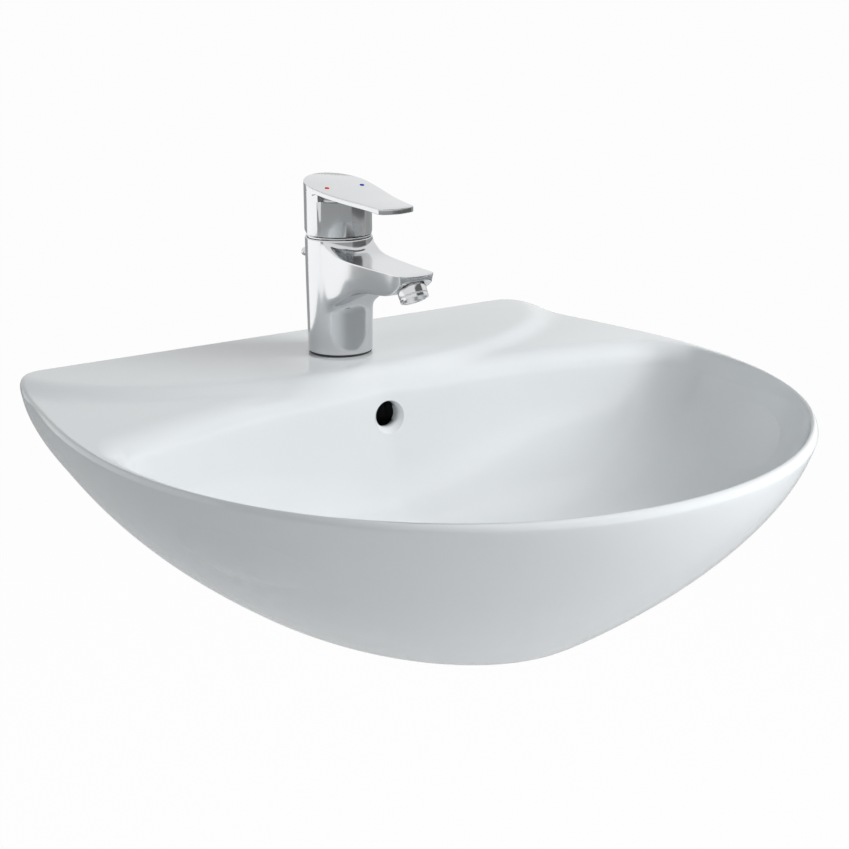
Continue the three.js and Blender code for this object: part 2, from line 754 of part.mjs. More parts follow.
function makeAerator() {
  const bore = aeratorThreadRadius - aeratorWall;
  const threadTop = aeratorHeight + aeratorThreadLength;
  const housing = turned([
    [aeratorOutletRadius - aeratorWall, 0], [aeratorOutletRadius, 0], [aeratorTopRadius, aeratorHeight],
    [aeratorThreadRadius, aeratorHeight], [aeratorThreadRadius, threadTop], [bore, threadTop],
    [bore, aeratorInsertThickness + 2 * seatGap], [aeratorOutletRadius - aeratorWall, 0],
  ]);
  const notches = Array.from({ length: aeratorNotches }, (_, k) => turnedAbout(block(
    [aeratorThreadRadius, -aeratorNotchWidth / 2, -overrun],
    [aeratorTopRadius + overrun, aeratorNotchWidth / 2, aeratorNotchDepth]),
  [0, 0, 1], (2 * Math.PI * k) / aeratorNotches, [0, 0, 0]));
  piece('aerator_housing', notches.reduce((body, cut) => body.subtract(cut), housing), chrome, aerator);
  const holes = Array.from({ length: aeratorHoles }, (_, k) => {
    const angle = (2 * Math.PI * k) / aeratorHoles;
    const centre = [aeratorHoleRing * Math.cos(angle), aeratorHoleRing * Math.sin(angle)];
    return bar(aeratorHoleRadius, [...centre, -overrun], [...centre, threadTop + overrun], rodSides);
  });
  const insertBase = ring(bore - seatGap, 0, seatGap + aeratorInsertThickness, threadTop - seatGap);
  piece('aerator_insert', holes.reduce((body, cut) => body.subtract(cut), insertBase), greyPlastic, aerator);
  piece('aerator_washer', ring(aeratorThreadRadius - seatGap, bore + seatGap, threadTop + seatGap,
    threadTop + seatGap + aeratorWasherThickness), rubber, aerator);
}
makeAerator();

// Cover ring between body and lever, and the cartridge with its nut below it.
const coverBottom = bodyTop + seatGap;
const coverTop = coverBottom + coverThickness;
const pivotHeight = coverTop + seam - pivotDrop;
piece('cover_ring', ring(coverRadius, coverOpeningRadius, coverBottom, coverTop, fineSegments), chrome, tap);
const nutTop = bodyTop;
const nutBottom = nutTop - cartridgeNutHeight;
piece('cartridge_nut', ring(chamberRadius - seatGap, cartridgeNutInnerRadius, nutBottom, nutTop), brass, tap);

const cartridgeBottom = chamberFloor + seatGap;
const cartridgeTop = nutBottom - seatGap;
const cavityRadius = cartridgeRadius - cartridgeWall;
const discBottom = cartridgeBottom + cartridgeFloor + seatGap;
const discTop = discBottom + fixedDiscThickness;

function makeCartridge() {
  const shell = ring(cartridgeRadius, 0, cartridgeBottom, cartridgeTop);
  const cavity = ring(cavityRadius, 0, cartridgeBottom + cartridgeFloor, cartridgeTop - cartridgeFloor);
  const mouth = ring(cartridgeNutInnerRadius, 0, cartridgeBottom + cartridgeFloor, cartridgeTop + overrun);
  const ports = discPorts(cartridgeBottom - overrun, discBottom + overrun);
  piece('cartridge_body', [cavity, mouth, ...ports].reduce((body, cut) => body.subtract(cut), shell),
    whitePlastic, tap);
  const fixedDisc = ring(cavityRadius - seatGap, 0, discBottom, discTop);
  const through = discPorts(discBottom - overrun, discTop + overrun);
  piece('fixed_disc', through.reduce((body, cut) => body.subtract(cut), fixedDisc), discCeramic, tap);
  const movingBottom = discTop + seatGap;
  const movingTop = movingBottom + movingDiscThickness;
  const recess = ring(spindleTipRadius + 2 * slideGap, 0, movingTop - movingDiscRecess, movingTop + overrun,
    smallSegments);
  const moving = moved(ring(movingDiscRadius, 0, movingBottom, movingTop), [0, movingDiscOffset, 0]);
  piece('moving_disc', moving.subtract(recess), discCeramic, tap);
}

// Two inlet ports and one outlet port through the cartridge floor and the fixed disc.
function discPorts(low, high) {
  const places = [[-discPortReach, 0], [discPortReach, 0], [0, -discPortReach]];
  return places.map(([x, y]) => bar(discPortRadius, [x, y, low], [x, y, high]));
}
makeCartridge();

// Rotor, spindle and the pin that joins them.
const rotorBottom = cartridgeTop - cartridgeFloor - seatGap - rotorFlangeHeight;
const rotorTop = rotorBottom + rotorFlangeHeight;
const leverBottom = coverTop + seam;

function makeSpindle() {
  const flange = ring(cavityRadius - seatGap, 0, rotorBottom, rotorTop);
  const neck = ring(rotorNeckRadius, 0, rotorBottom, rotorTop + rotorNeckHeight);
  const slotHalf = spindleHalfWidth + seatGap;
  const lowSlot = block([-slotHalf, -rotorSlotReach, rotorBottom - overrun],
    [slotHalf, rotorSlotReach, rotorTop]);
  const highSlot = block([-slotHalf, -rotorNeckSlotReach, rotorBottom],
    [slotHalf, rotorNeckSlotReach, rotorTop + rotorNeckHeight + overrun]);
  const pinHole = bar(pivotPinRadius + seatGap, [-rotorNeckRadius - overrun, 0, pivotHeight],
    [rotorNeckRadius + overrun, 0, pivotHeight]);
  const rotor = flange.add(neck).subtract(lowSlot).subtract(highSlot).subtract(pinHole);
  piece('cartridge_rotor', rotor, greyPlastic, tap);
  const tipBottom = discTop + seatGap + movingDiscThickness - movingDiscRecess + slideGap;
  const tipTop = rotorBottom + overrun;
  const stem = block([-spindleHalfWidth, -spindleHalfDepth, tipTop - overrun],
    [spindleHalfWidth, spindleHalfDepth, leverBottom + spindleRise]);
  const tip = ring(spindleTipRadius, 0, tipBottom, tipTop, smallSegments);
  const eye = bar(pivotPinRadius + seatGap, [-rotorNeckRadius, 0, pivotHeight],
    [rotorNeckRadius, 0, pivotHeight]);
  piece('cartridge_spindle', stem.add(tip).subtract(eye), steel, tap);
  piece('spindle_pin', bar(pivotPinRadius, [-pivotPinHalfLength, 0, pivotHeight],
    [pivotPinHalfLength, 0, pivotHeight]), steel, tap);
}
makeSpindle();

// Lever: a hub over the cartridge with a falling plate that tapers to a blunt tip.
const leverTop = leverBottom + leverTopRise;
const leverTopLine = leverTopShares.map(([reach, fall]) => [
  -leverReach * reach, leverTop - leverFall * fall]);

// Outline of the plate from above.
function leverPlan() {
  const [pull, straight, tipPull, narrow] = leverSideShares;
  const tipStart = [leverTipHalfWidth, leverTipBulge + leverTipRound - leverReach];
  const side = curvePoints([leverHubRadius, 0], [leverHubRadius * straight, -leverReach * pull],
    [leverTipHalfWidth / narrow, -leverReach * tipPull], tipStart, leverSideSteps);
  const tip = curvePoints(tipStart, [leverTipHalfWidth, leverTipBulge - leverReach],
    [leverTipHalfWidth - leverTipRound, leverTipBulge / 2 - leverReach], [0, -leverReach], leverTipSteps);
  const half = [...side, ...tip, [0, -leverReach]];
  const back = Array.from({ length: leverBackSteps - 1 }, (_, k) => {
    const angle = Math.PI - (Math.PI * (k + 1)) / leverBackSteps;
    return [leverHubRadius * Math.cos(angle), leverHubRadius * Math.sin(angle)];
  });
  return [...half, ...half.slice(0, -1).reverse().map(([x, y]) => [-x, y]), ...back];
}

// Band between the plate's top line and the same line moved up or down, as wide as the hub.
function leverBand(offset) {
  const shifted = leverTopLine.map(([y, z]) => [y, z + offset]).reverse();
  const outline = [...leverTopLine, ...shifted];
  return sided(offset < 0 ? outline.reverse() : outline, leverHubRadius + overrun);
}

// Place and tilt of the plate's top at a distance in front of the tap's axis.
function leverSurface(forward) {
  const next = leverTopLine.findIndex(([y]) => y > -forward);
  const [from, to] = [leverTopLine[next - 1], leverTopLine[next]];
  const rise = (to[1] - from[1]) / (to[0] - from[0]);
  return { height: from[1] + rise * (-forward - from[0]), tilt: Math.atan(rise) };
}

// A round bar square to the plate at one of the two dots, from one depth to another.
function dotBar(side, radius, low, high) {
  const { height, tilt } = leverSurface(dotForward);
  const centre = [side * dotSpacing / 2, -dotForward, height];
  const upright = bar(radius, [centre[0], centre[1], height + low], [centre[0], centre[1], height + high]);
  return turnedAbout(upright, [1, 0, 0], tilt, centre);
}

function makeLever() {
  const tall = leverTop + leverHubRadius;
  const skirt = ring(leverHubRadius, 0, leverBottom, tall, fineSegments);
  const notchTop = leverTop - leverNotchDrop;
  const frontAngle = radians(leverFrontAngle);
  const wedge = [2 * leverHubRadius * Math.sin(frontAngle), -2 * leverHubRadius * Math.cos(frontAngle)];
  const frontWedge = [[0, 0], [-wedge[0], wedge[1]], wedge];
  const around = (inner, low, high) => ring(leverHubRadius + overrun, inner, low, high, fineSegments)
    .intersect(raised(frontWedge, low - overrun, high + overrun));
  const step = around(leverHubRadius - leverFrontStep, leverBottom - overrun, notchTop);
  const notch = around(leverHubRadius - leverNotchDepth, notchTop - leverNotchHeight, notchTop);
  const plate = raised(leverPlan(), leverBottom, tall).intersect(leverBand(-leverPlateThickness));
  const hollow = ring(leverHollowRadius, 0, leverBottom - overrun, leverBottom + leverHollowHeight);
  const socket = block(
    [-spindleHalfWidth - seatGap, -spindleHalfDepth - seatGap, leverBottom],
    [spindleHalfWidth + seatGap, spindleHalfDepth + seatGap, leverBottom + spindleRise + seatGap]);
  const screwHeight = leverBottom + leverScrewRise;
  const outside = [0, leverHubRadius + overrun, screwHeight];
  const screwHole = bar(leverScrewRadius + seatGap, [0, 0, screwHeight], outside);
  const plugHole = bar(leverPlugRadius + seatGap,
    [0, leverHubRadius - leverPlugLength - seatGap, screwHeight], outside);
  const dotHoles = [-1, 1].map((side) => dotBar(side, dotRadius + seatGap, -dotDepth, overrun));
  const hubCuts = [step, notch, leverBand(2 * leverHubRadius), liftClearance()];
  const hub = hubCuts.reduce((body, cut) => body.subtract(cut), skirt);
  const cuts = [hollow, socket, screwHole, plugHole, ...dotHoles];
  piece('lever_handle', cuts.reduce((body, cut) => body.subtract(cut), hub.add(plate)), chrome, tap);
  piece('lever_screw', bar(leverScrewRadius, [0, spindleHalfDepth + seatGap, screwHeight],
    [0, spindleHalfDepth + seatGap + leverScrewLength, screwHeight]), steel, tap);
  piece('lever_plug', bar(leverPlugRadius, [0, leverHubRadius - leverPlugLength, screwHeight],
    [0, leverHubRadius - seatGap, screwHeight]), chrome, tap);
}

// The hub's back rises from the cover so that the lever can be lifted.
function liftClearance() {
  const lift = radians(leverLift);
  const arm = leverBottom - pivotHeight;
  const rise = (reach) => pivotHeight + (arm + reach * Math.sin(lift)) / Math.cos(lift);
  const start = -(arm / Math.cos(lift) - arm) / Math.tan(lift);
  const far = leverHubRadius + overrun;
  return sided([[start, leverBottom], [start, leverBottom - overrun], [far, leverBottom - overrun],
    [far, rise(far)]], leverHubRadius + overrun);
}
makeLever();

for (const [side, name, mark] of [[-1, 'hot_dot', redMark], [1, 'cold_dot', blueMark]]) {
  piece(name, dotBar(side, dotRadius, seatGap - dotDepth, dotStand), mark, tap);
}

// Supply tubes, stud, horseshoe washers and nut that hold the tap to the deck.
function makeTapFixing() {
  const seatTop = hollowTop + supplySeatDepth - seatGap;
  for (const [side, name] of [[-1, 'hot_supply_tube'], [1, 'cold_supply_tube']]) {
    const x = side * supplySpacing / 2;
    const tube = bar(supplyTubeRadius, [x, 0, -supplyDrop], [x, 0, seatTop]);
    const bore = bar(supplyTubeBore, [x, 0, -supplyDrop - overrun], [x, 0, seatTop + overrun]);
    piece(name, tube.subtract(bore), brass, tap);
  }
  piece('tap_stud', bar(tapStudRadius, [0, -tapStudForward, -tapStudDrop], [0, -tapStudForward, seatTop]),
    steel, tap);
  const tubeSide = supplySpacing / 2 + supplyTubeRadius + slideGap;
  const tubeFront = -supplyTubeRadius - slideGap;
  const shoulder = liftRodInset - horseshoeBackOpening / 2;
  const neck = liftRodInset + horseshoeBackOpening;
  const rightSide = [
    [tubeSide, tubeFront], [tubeSide, shoulder], [horseshoeBackOpening, neck],
    [horseshoeBackOpening, 2 * horseshoeRadius],
  ];
  const opening = [...rightSide, ...[...rightSide].reverse().map(([x, y]) => [-x, y])];
  let top = -deckThickness - seatGap;
  for (const [name, finish] of [['rubber_horseshoe', rubber], ['steel_horseshoe', steel]]) {
    const low = top - horseshoeThickness;
    const plate = ring(horseshoeRadius, 0, low, top)
      .subtract(raised(opening, low - overrun, top + overrun))
      .subtract(bar(tapStudRadius + seatGap, [0, -tapStudForward, low - overrun],
        [0, -tapStudForward, top + overrun]));
    piece(name, plate, finish, tap);
    top = low - seatGap;
  }
  const nut = hexNut(tapNutAcrossFlats, tapStudRadius + seatGap, top - tapNutThickness, top);
  piece('tap_nut', moved(nut, [0, -tapStudForward, 0]), brass, tap);
}
makeTapFixing();

// A round bar bent along a smooth route of points.
function bentBar(radius, route, steps) {
  const path = new THREE.CatmullRomCurve3(
    route.map((point) => new THREE.Vector3(...point)), false, 'centripetal');
  const section = new THREE.Shape(Array.from({ length: rodSides }, (_, k) => {
    const angle = (2 * Math.PI * k) / rodSides;
    return new THREE.Vector2(radius * Math.cos(angle), radius * Math.sin(angle));
  }));
  return solid(new THREE.ExtrudeGeometry(section, { steps, bevelEnabled: false, extrudePath: path }));
}

// Lift rod: upright in the groove behind the body, stepped inwards to pass the tap hole.
function makeLiftRod() {
  const top = bodyTop - liftRodTopDrop;
  const bendTop = hollowTop - liftTravel - 2 * liftRodRadius;
  const bendBottom = bodyBottom + liftRodRadius;
  const route = [
    [0, liftRodBack, top], [0, liftRodBack, mix(top, bendTop, 0.5)], [0, liftRodBack, bendTop],
    [0, mix(liftRodBack, liftRodInset, 0.5), mix(bendTop, bendBottom, 0.5)],
    [0, liftRodInset, bendBottom], [0, liftRodInset, mix(bendBottom, -liftRodDrop, 0.5)],
    [0, liftRodInset, -liftRodDrop],
  ];
  const pinHeight = bodyTop - liftRodPinDrop;
  const pinEnd = liftRodBack + liftRodPinLength;
  const pin = bar(liftRodPinRadius, [0, liftRodBack, pinHeight], [0, pinEnd, pinHeight], rodSides);
  piece('lift_rod', bentBar(liftRodRadius, route, liftRodSteps).add(pin), chrome, tap);
  const knobStart = pinEnd + knobCap - knobLength;
  const knob = bar(knobRadius, [0, knobStart, pinHeight], [0, pinEnd + knobCap, pinHeight]);
  const socket = bar(liftRodPinRadius + seatGap, [0, knobStart - overrun, pinHeight],
    [0, pinEnd + seatGap, pinHeight], rodSides);
  piece('rod_knob', knob.subtract(socket), chrome, tap);
}
makeLiftRod();

// The waste hangs below the drain, on its own axis, with z = 0 on the bowl's drain seat.
const waste = new THREE.Group();
waste.position.set(0, -drainDistance, -bowlDepth);
product.add(waste);

const flangeBottom = 2 * seatGap + wasteSealThickness;
const flangeTop = flangeBottom + wasteFlangeThickness;
const washerTop = -drainBossHeight - seatGap;
const backNutTop = washerTop - coneWasherThickness - seatGap;
const backNutBottom = backNutTop - backNutThickness;
const pivotLevel = backNutBottom - pivotBelowNut;
const tubeBottom = pivotLevel - bossRadius - seatGap;

function makeWaste() {
  const edge = wasteFlangeThickness / 2;
  const tailBottom = tubeBottom - tailLength;
  const outer = turned([
    [wasteBoreRadius, flangeTop - edge], [wasteBoreRadius, tubeBottom + wasteFlangeThickness],
    [tailBore, tubeBottom], [tailBore, tailBottom], [tailRadius, tailBottom],
    [tailRadius, tubeBottom - wasteFlangeThickness], [wasteTubeRadius, tubeBottom],
    [wasteTubeRadius, flangeBottom], [wasteFlangeRadius, flangeBottom],
    [wasteFlangeRadius, flangeTop - edge], [wasteFlangeRadius - edge, flangeTop],
    [wasteBoreRadius + edge, flangeTop], [wasteBoreRadius, flangeTop - edge],
  ]);
  const boss = bar(bossRadius, [0, mix(wasteBoreRadius, wasteTubeRadius, 0.5), pivotLevel],
    [0, bossLength, pivotLevel], roundSegments);
  const bossHole = bar(bossBore, [0, 0, pivotLevel], [0, bossLength + overrun, pivotLevel], roundSegments);
  const slotMiddle = -drainBossHeight / 2;
  const slots = block([-wasteSlotWidth / 2, -2 * wasteTubeRadius, slotMiddle - wasteSlotHeight / 2],
    [wasteSlotWidth / 2, 2 * wasteTubeRadius, slotMiddle + wasteSlotHeight / 2]);
  piece('waste_body', outer.add(boss).subtract(bossHole).subtract(slots), chrome, waste);
  piece('flange_seal', ring(wasteFlangeRadius - wasteSealInset, wasteTubeRadius + seatGap, seatGap,
    seatGap + wasteSealThickness), rubber, waste);
  const inner = wasteTubeRadius + seatGap;
  piece('cone_washer', turned([
    [inner, washerTop - coneWasherThickness], [coneWasherLowRadius, washerTop - coneWasherThickness],
    [coneWasherRadius, washerTop], [inner, washerTop], [inner, washerTop - coneWasherThickness],
  ]), rubber, waste);
  piece('back_nut', ring(backNutAcrossFlats / Math.sqrt(3), 0, backNutBottom, backNutTop, 6)
    .subtract(ring(inner, 0, backNutBottom - overrun, backNutTop + overrun)), brass, waste);
}
makeWaste();

// Pivot rod with its ball. It leans down at its outer end at rest and as far up when the rod is lifted.
const pivotTilt = Math.asin(liftTravel / 2 / strapReach);
const rodPoint = (reach) => [
  0, ballReach + reach * Math.cos(pivotTilt), pivotLevel - reach * Math.sin(pivotTilt)];

function makePivot() {
  const along = (radius, from, to, segments) => bar(
    radius, [0, from, pivotLevel], [0, to, pivotLevel], segments);
  const ball = new THREE.SphereGeometry(ballRadius, smallSegments, smallSegments / 2);
  ball.translate(0, ballReach, pivotLevel);
  const tip = rodPoint(-ballReach - pivotRodInnerReach);
  const rod = bar(pivotRodRadius, tip, rodPoint(pivotRodOuterReach), rodSides);
  piece('pivot_rod', solid(ball).add(rod), steel, waste);
  const lipStart = ballReach + ballRadius + slideGap;
  const nutEnd = lipStart + pivotNutLip;
  const nutStart = nutEnd - pivotNutLength;
  const nutCuts = [
    along(bossRadius + seatGap, nutStart - overrun, bossLength + seatGap, roundSegments),
    along(bossBore, bossLength, lipStart, roundSegments),
    along(pivotNutOpening, bossLength, nutEnd + overrun),
  ];
  const cap = along(pivotNutRadius, nutStart, nutEnd, roundSegments);
  piece('pivot_nut', nutCuts.reduce((body, cut) => body.subtract(cut), cap), whitePlastic, waste);
  const seatEnd = ballReach - ballSeatOpening;
  const seatStart = seatEnd - ballSeatThickness;
  const seat = along(bossBore - seatGap, seatStart, seatEnd)
    .subtract(along(ballSeatOpening, seatStart - overrun, seatEnd + overrun));
  piece('ball_seat', seat, whitePlastic, waste);
}
makePivot();

// Spring clip: two legs on the pivot rod, one on each side of the strap, joined beside it.
function makeClip() {
  const middle = ballReach + strapReach;
  const inner = clipSpan / 2;
  const outer = inner + clipThickness;
  const side = strapWidth / 2 + slideGap;
  const outline = [
    [-side, -outer], [side + clipThickness, -outer], [side + clipThickness, outer], [-side, outer],
    [-side, inner], [side, inner], [side, -inner], [-side, -inner],
  ].map(([x, y]) => [x, y + middle]);
  const strip = raised(outline, pivotLevel - clipHeight / 2, pivotLevel + clipHeight / 2);
  const holes = bar(pivotRodRadius + seatGap,
    [0, middle - clipSpan, pivotLevel], [0, middle + clipSpan, pivotLevel]);
  const clip = turnedAbout(strip.subtract(holes), [1, 0, 0], -pivotTilt, [0, ballReach, pivotLevel]);
  piece('spring_clip', clip, steel, waste);
}
makeClip();

// Plug: cap, seal, stem with guide fins and the eye that the pivot rod's tip lifts.
function makePlug() {
  const rodRise = ballReach * Math.tan(pivotTilt);
  const capBottom = flangeTop + 2 * rodRise + seatGap;
  const eyeCentre = pivotLevel + rodRise - plugEyeBore + pivotRodRadius + slideGap;
  const eye = bar(plugEyeRadius, [0, -plugEyeThickness / 2, eyeCentre], [0, plugEyeThickness / 2, eyeCentre]);
  const stem = ring(plugStemRadius, 0, eyeCentre + plugEyeBore, capBottom + plugThickness / 2, smallSegments);
  const cap = turned(plugCapShares.map(([reach, rise]) => [
    plugRadius * reach, capBottom + plugThickness * rise]));
  const guideTop = capBottom - plugSealThickness - 2 * seatGap;
  const guideLow = -drainBossHeight;
  const fin = plugGuideThickness / 2;
  const reach = wasteBoreRadius - slideGap;
  const guides = [[reach, fin], [fin, reach]].map(([x, y]) => block([-x, -y, guideLow], [x, y, guideTop]));
  const hole = bar(plugEyeBore, [0, -plugEyeRadius, eyeCentre], [0, plugEyeRadius, eyeCentre]);
  const body = [stem, eye, ...guides].reduce((sum, part) => sum.add(part), cap);
  piece('pop_up_plug', body.subtract(hole), chrome, waste);
  piece('plug_seal', ring(reach, plugStemRadius + seatGap, guideTop + seatGap, capBottom - seatGap),
    rubber, waste);
}
makePlug();

// Strap: hangs from the lift rod, leans forward and carries the pivot rod in one of its holes.
function makeStrap() {
  const holePoint = rodPoint(strapReach);
  const hole = [0, holePoint[1] - drainDistance, holePoint[2] - bowlDepth];
  const rodY = -tapDistance + liftRodInset;
  const sleeveTop = deckRise - liftRodDrop + strapSleeveLength;
  const sleeveBottom = sleeveTop - strapSleeveLength;
  const sleeve = bar(strapSleeveRadius, [0, rodY, sleeveBottom], [0, rodY, sleeveTop]);
  const top = [rodY, sleeveBottom + strapSleeveLength / 3];
  const run = [top[0] - hole[1], top[1] - hole[2]];
  const length = Math.hypot(...run);
  const along = [-run[0] / length, -run[1] / length];
  const across = [along[1], -along[0]];
  const half = strapThickness / 2;
  const corner = (distance, side) => [0, 1].map(
    (axis) => top[axis] + along[axis] * distance + across[axis] * side * half);
  const far = length + strapEnd;
  const strap = sided([corner(0, -1), corner(0, 1), corner(far, 1), corner(far, -1)], strapWidth / 2);
  const holes = Array.from({ length: strapHoles }, (_, k) => {
    const distance = length - k * strapHolePitch;
    const centre = [0, top[0] + along[0] * distance, top[1] + along[1] * distance];
    const reach = [0, across[0] * overrun, across[1] * overrun];
    return bar(strapHoleRadius, centre.map((value, axis) => value - reach[axis]),
      centre.map((value, axis) => value + reach[axis]));
  });
  const rodHole = bar(liftRodRadius + seatGap,
    [0, rodY, sleeveBottom - overrun], [0, rodY, sleeveTop + overrun]);
  const screwHeight = mix(sleeveBottom, sleeveTop, strapScrewShare);
  const backwards = (radius, from, to) => bar(radius, [0, from, screwHeight], [0, to, screwHeight]);
  const screwHole = backwards(strapScrewRadius + seatGap, rodY, rodY + strapSleeveRadius + overrun);
  const body = [...holes, rodHole, screwHole].reduce((sum, cut) => sum.subtract(cut), sleeve.add(strap));
  piece('clevis_strap', body, steel);
  const headStart = rodY + strapSleeveRadius + seatGap;
  const headEnd = headStart + strapScrewHeadLength;
  const shank = backwards(strapScrewRadius, rodY + liftRodRadius + seatGap, mix(headStart, headEnd, 0.5));
  piece('strap_screw', shank.add(backwards(strapScrewHeadRadius, headStart, headEnd)), steel);
}
makeStrap();

export default product;
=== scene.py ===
import math

import bmesh
import bpy
from mathutils import Matrix, Vector


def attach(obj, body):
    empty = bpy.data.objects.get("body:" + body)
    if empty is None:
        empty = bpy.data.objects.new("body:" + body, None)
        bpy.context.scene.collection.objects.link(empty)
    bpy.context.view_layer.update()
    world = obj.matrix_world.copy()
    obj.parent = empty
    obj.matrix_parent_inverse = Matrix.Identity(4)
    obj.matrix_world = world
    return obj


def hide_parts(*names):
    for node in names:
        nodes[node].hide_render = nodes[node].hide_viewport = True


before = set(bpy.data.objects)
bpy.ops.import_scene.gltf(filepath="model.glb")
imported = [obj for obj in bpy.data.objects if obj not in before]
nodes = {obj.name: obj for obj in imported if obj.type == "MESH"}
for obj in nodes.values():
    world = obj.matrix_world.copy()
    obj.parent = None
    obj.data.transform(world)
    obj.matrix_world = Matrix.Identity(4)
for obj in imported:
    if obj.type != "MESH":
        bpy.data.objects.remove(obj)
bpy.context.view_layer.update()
mm = 0.001  # sizes in the dictionaries are millimetres


# camera, light and floor
studio = {
    "camera": (-0.6362, -1.0962, 0.3031),
    "look": (0.5555, 0.7797, -0.2891),
    "lens": 63.6,
    "sensor": 36,
    "nearest": 0.02,
    "floor": -0.86,
    "floorSize": 160.0,
    "floorColour": (0.86, 0.865, 0.87),
    "floorSeen": 0.975,  # share of plain white that the camera sees on the floor
    "floorMirrored": 0.25,  # the same for reflections
    "lampSize": 0.9,
    "fill": 0.22,
    "fillColour": (0.92, 0.98, 1.0),
    "lampColour": (0.975, 0.99, 1.0),
}


def aimed(item, place, look):
    item.location = place
    item.rotation_euler = Vector(look).to_track_quat("-Z", "Y").to_euler()
    bpy.context.scene.collection.objects.link(item)
    return item


def makeCamera():
    data = bpy.data.cameras.new("camera")
    data.sensor_width = studio["sensor"]
    data.lens = studio["lens"]
    data.clip_start = studio["nearest"]
    bpy.context.scene.camera = aimed(bpy.data.objects.new("camera", data), studio["camera"], studio["look"])


# name: place, point it faces, watts
lamps = {
    "keyLamp": ((0.9, -1.1, 0.8), (0.0, -0.22, -0.04), 21),
    "lowLamp": ((0.4, -2.0, -0.1), (0.0, -0.22, -0.04), 10),
    "leftLamp": ((-1.8, -0.3, 0.9), (0.0, -0.22, -0.04), 8),
    "backLamp": ((0.5, 1.5, 0.62), (0.0, -0.4, -0.04), 3),
}


def makeLamps():
    for name, (place, target, power) in lamps.items():
        data = bpy.data.lights.new(name, "AREA")
        data.shape = "RECTANGLE"
        data.size = data.size_y = studio["lampSize"]
        data.energy = power
        data.color = studio["lampColour"]
        lamp = aimed(bpy.data.objects.new(name, data), place, Vector(target) - Vector(place))
        lamp.visible_glossy = False


# shader helpers
def put(tree, place, value):
    if isinstance(value, Wire):
        tree.links.new(value.socket, place)
    else:
        place.default_value = value


class Wire:
    def __init__(self, tree, socket):
        self.tree = tree
        self.socket = socket

    def maths(self, operation, *values):
        made = self.tree.nodes.new("ShaderNodeMath")
        made.operation = operation
        for place, value in zip(made.inputs, values):
            put(self.tree, place, value)
        return Wire(self.tree, made.outputs[0])

    def __add__(self, other):
        return self.maths("ADD", self, other)

    def __mul__(self, other):
        return self.maths("MULTIPLY", self, other)

    __radd__ = __add__
    __rmul__ = __mul__

    def larger(self, other):
        return self.maths("MAXIMUM", self, other)


class Finish:
    def __init__(self, owner):
        owner.use_nodes = True
        self.tree = owner.node_tree
        self.tree.nodes.clear()

    def node(self, kind, settings=None, output=0, **sockets):
        made = self.tree.nodes.new(kind)
        for name, value in (settings or {}).items():
            if name == "stops":
                ramp = made.color_ramp
                for stop, (place, colour) in zip((ramp.elements[0], ramp.elements[1]), (value[0], value[-1])):
                    stop.position = place
                    stop.color = colour
                for place, colour in value[1:-1]:
                    ramp.elements.new(place).color = colour
            else:
                setattr(made, name, value)
        for name, value in sockets.items():
            put(self.tree, made.inputs[name.replace("_", " ")], value)
        return Wire(self.tree, made.outputs[output]) if made.outputs else None

    def blended(self, share, first, second):
        made = self.tree.nodes.new("ShaderNodeMix")
        made.data_type = "RGBA"
        for place, value in zip((0, 6, 7), (share, first, second)):
            put(self.tree, made.inputs[place], value)
        return Wire(self.tree, made.outputs[2])


def plainColour(red, green, blue):
    return (red, green, blue, 1)


def looseObject(name, bm):
    mesh = bpy.data.meshes.new(name)
    bm.to_mesh(mesh)
    bm.free()
    made = bpy.data.objects.new(name, mesh)
    bpy.context.scene.collection.objects.link(made)
    return made


# the matrix that turns the z axis to a direction and moves to a place
def facing(direction, place):
    return Matrix.Translation(place) @ Vector(direction).to_track_quat("Z", "Y").to_matrix().to_4x4()


def makeFloor():
    bm = bmesh.new()
    bmesh.ops.create_grid(bm, x_segments=8, y_segments=8, size=studio["floorSize"] / 2)
    bmesh.ops.translate(bm, verts=bm.verts, vec=(0, 0, studio["floor"]))
    floor = looseObject("studio_floor", bm)
    material = bpy.data.materials.new("studio_floor")
    finish = Finish(material)
    ray = finish.node("ShaderNodeLightPath")
    matt = finish.node("ShaderNodeBsdfDiffuse", Color=plainColour(*studio["floorColour"]))
    white = finish.node("ShaderNodeEmission", Color=plainColour(1, 1, 1), Strength=1)
    mirrored = Wire(finish.tree, ray.socket.node.outputs["Is Glossy Ray"])
    surface = finish.node("ShaderNodeMixShader",
                          Fac=ray * studio["floorSeen"] + mirrored * studio["floorMirrored"])
    put(finish.tree, surface.socket.node.inputs[1], matt)
    put(finish.tree, surface.socket.node.inputs[2], white)
    finish.node("ShaderNodeOutputMaterial", Surface=surface)
    floor.data.materials.append(material)


def makeWorld():
    world = bpy.data.worlds.new("studio")
    bpy.context.scene.world = world
    finish = Finish(world)
    path = finish.node("ShaderNodeLightPath")
    outputs = path.socket.node.outputs
    seen = path
    for name in ("Is Glossy Ray", "Is Transmission Ray"):
        seen = seen.larger(Wire(finish.tree, outputs[name]))
    strength = seen * (1 - studio["fill"]) + studio["fill"]
    tint = finish.blended(seen, plainColour(*studio["fillColour"]), plainColour(1, 1, 1))
    light = finish.node("ShaderNodeBackground", Color=tint, Strength=strength)
    finish.node("ShaderNodeOutputWorld", Surface=light)


# cards that only reflections show: name: centre, facing point, width, height, brightness
cards = {
    "whiteCard": ((-1.5, 1.2, -0.3), (0.0, -0.1, 0.1), 2.6, 0.75, 1.35),
    "greyCard": ((1.6, -1.5, -0.45), (0.0, -0.1, 0.1), 2.6, 0.9, 0.45),
    "tipCard": ((0.88, -1.05, -0.06), (0.0, -0.17, 0.12), 1.4, 0.34, 0.15),
    "highCard": ((0.6, -1.35, 1.0), (0.0, -0.18, 0.07), 1.9, 0.9, 0.15),
}


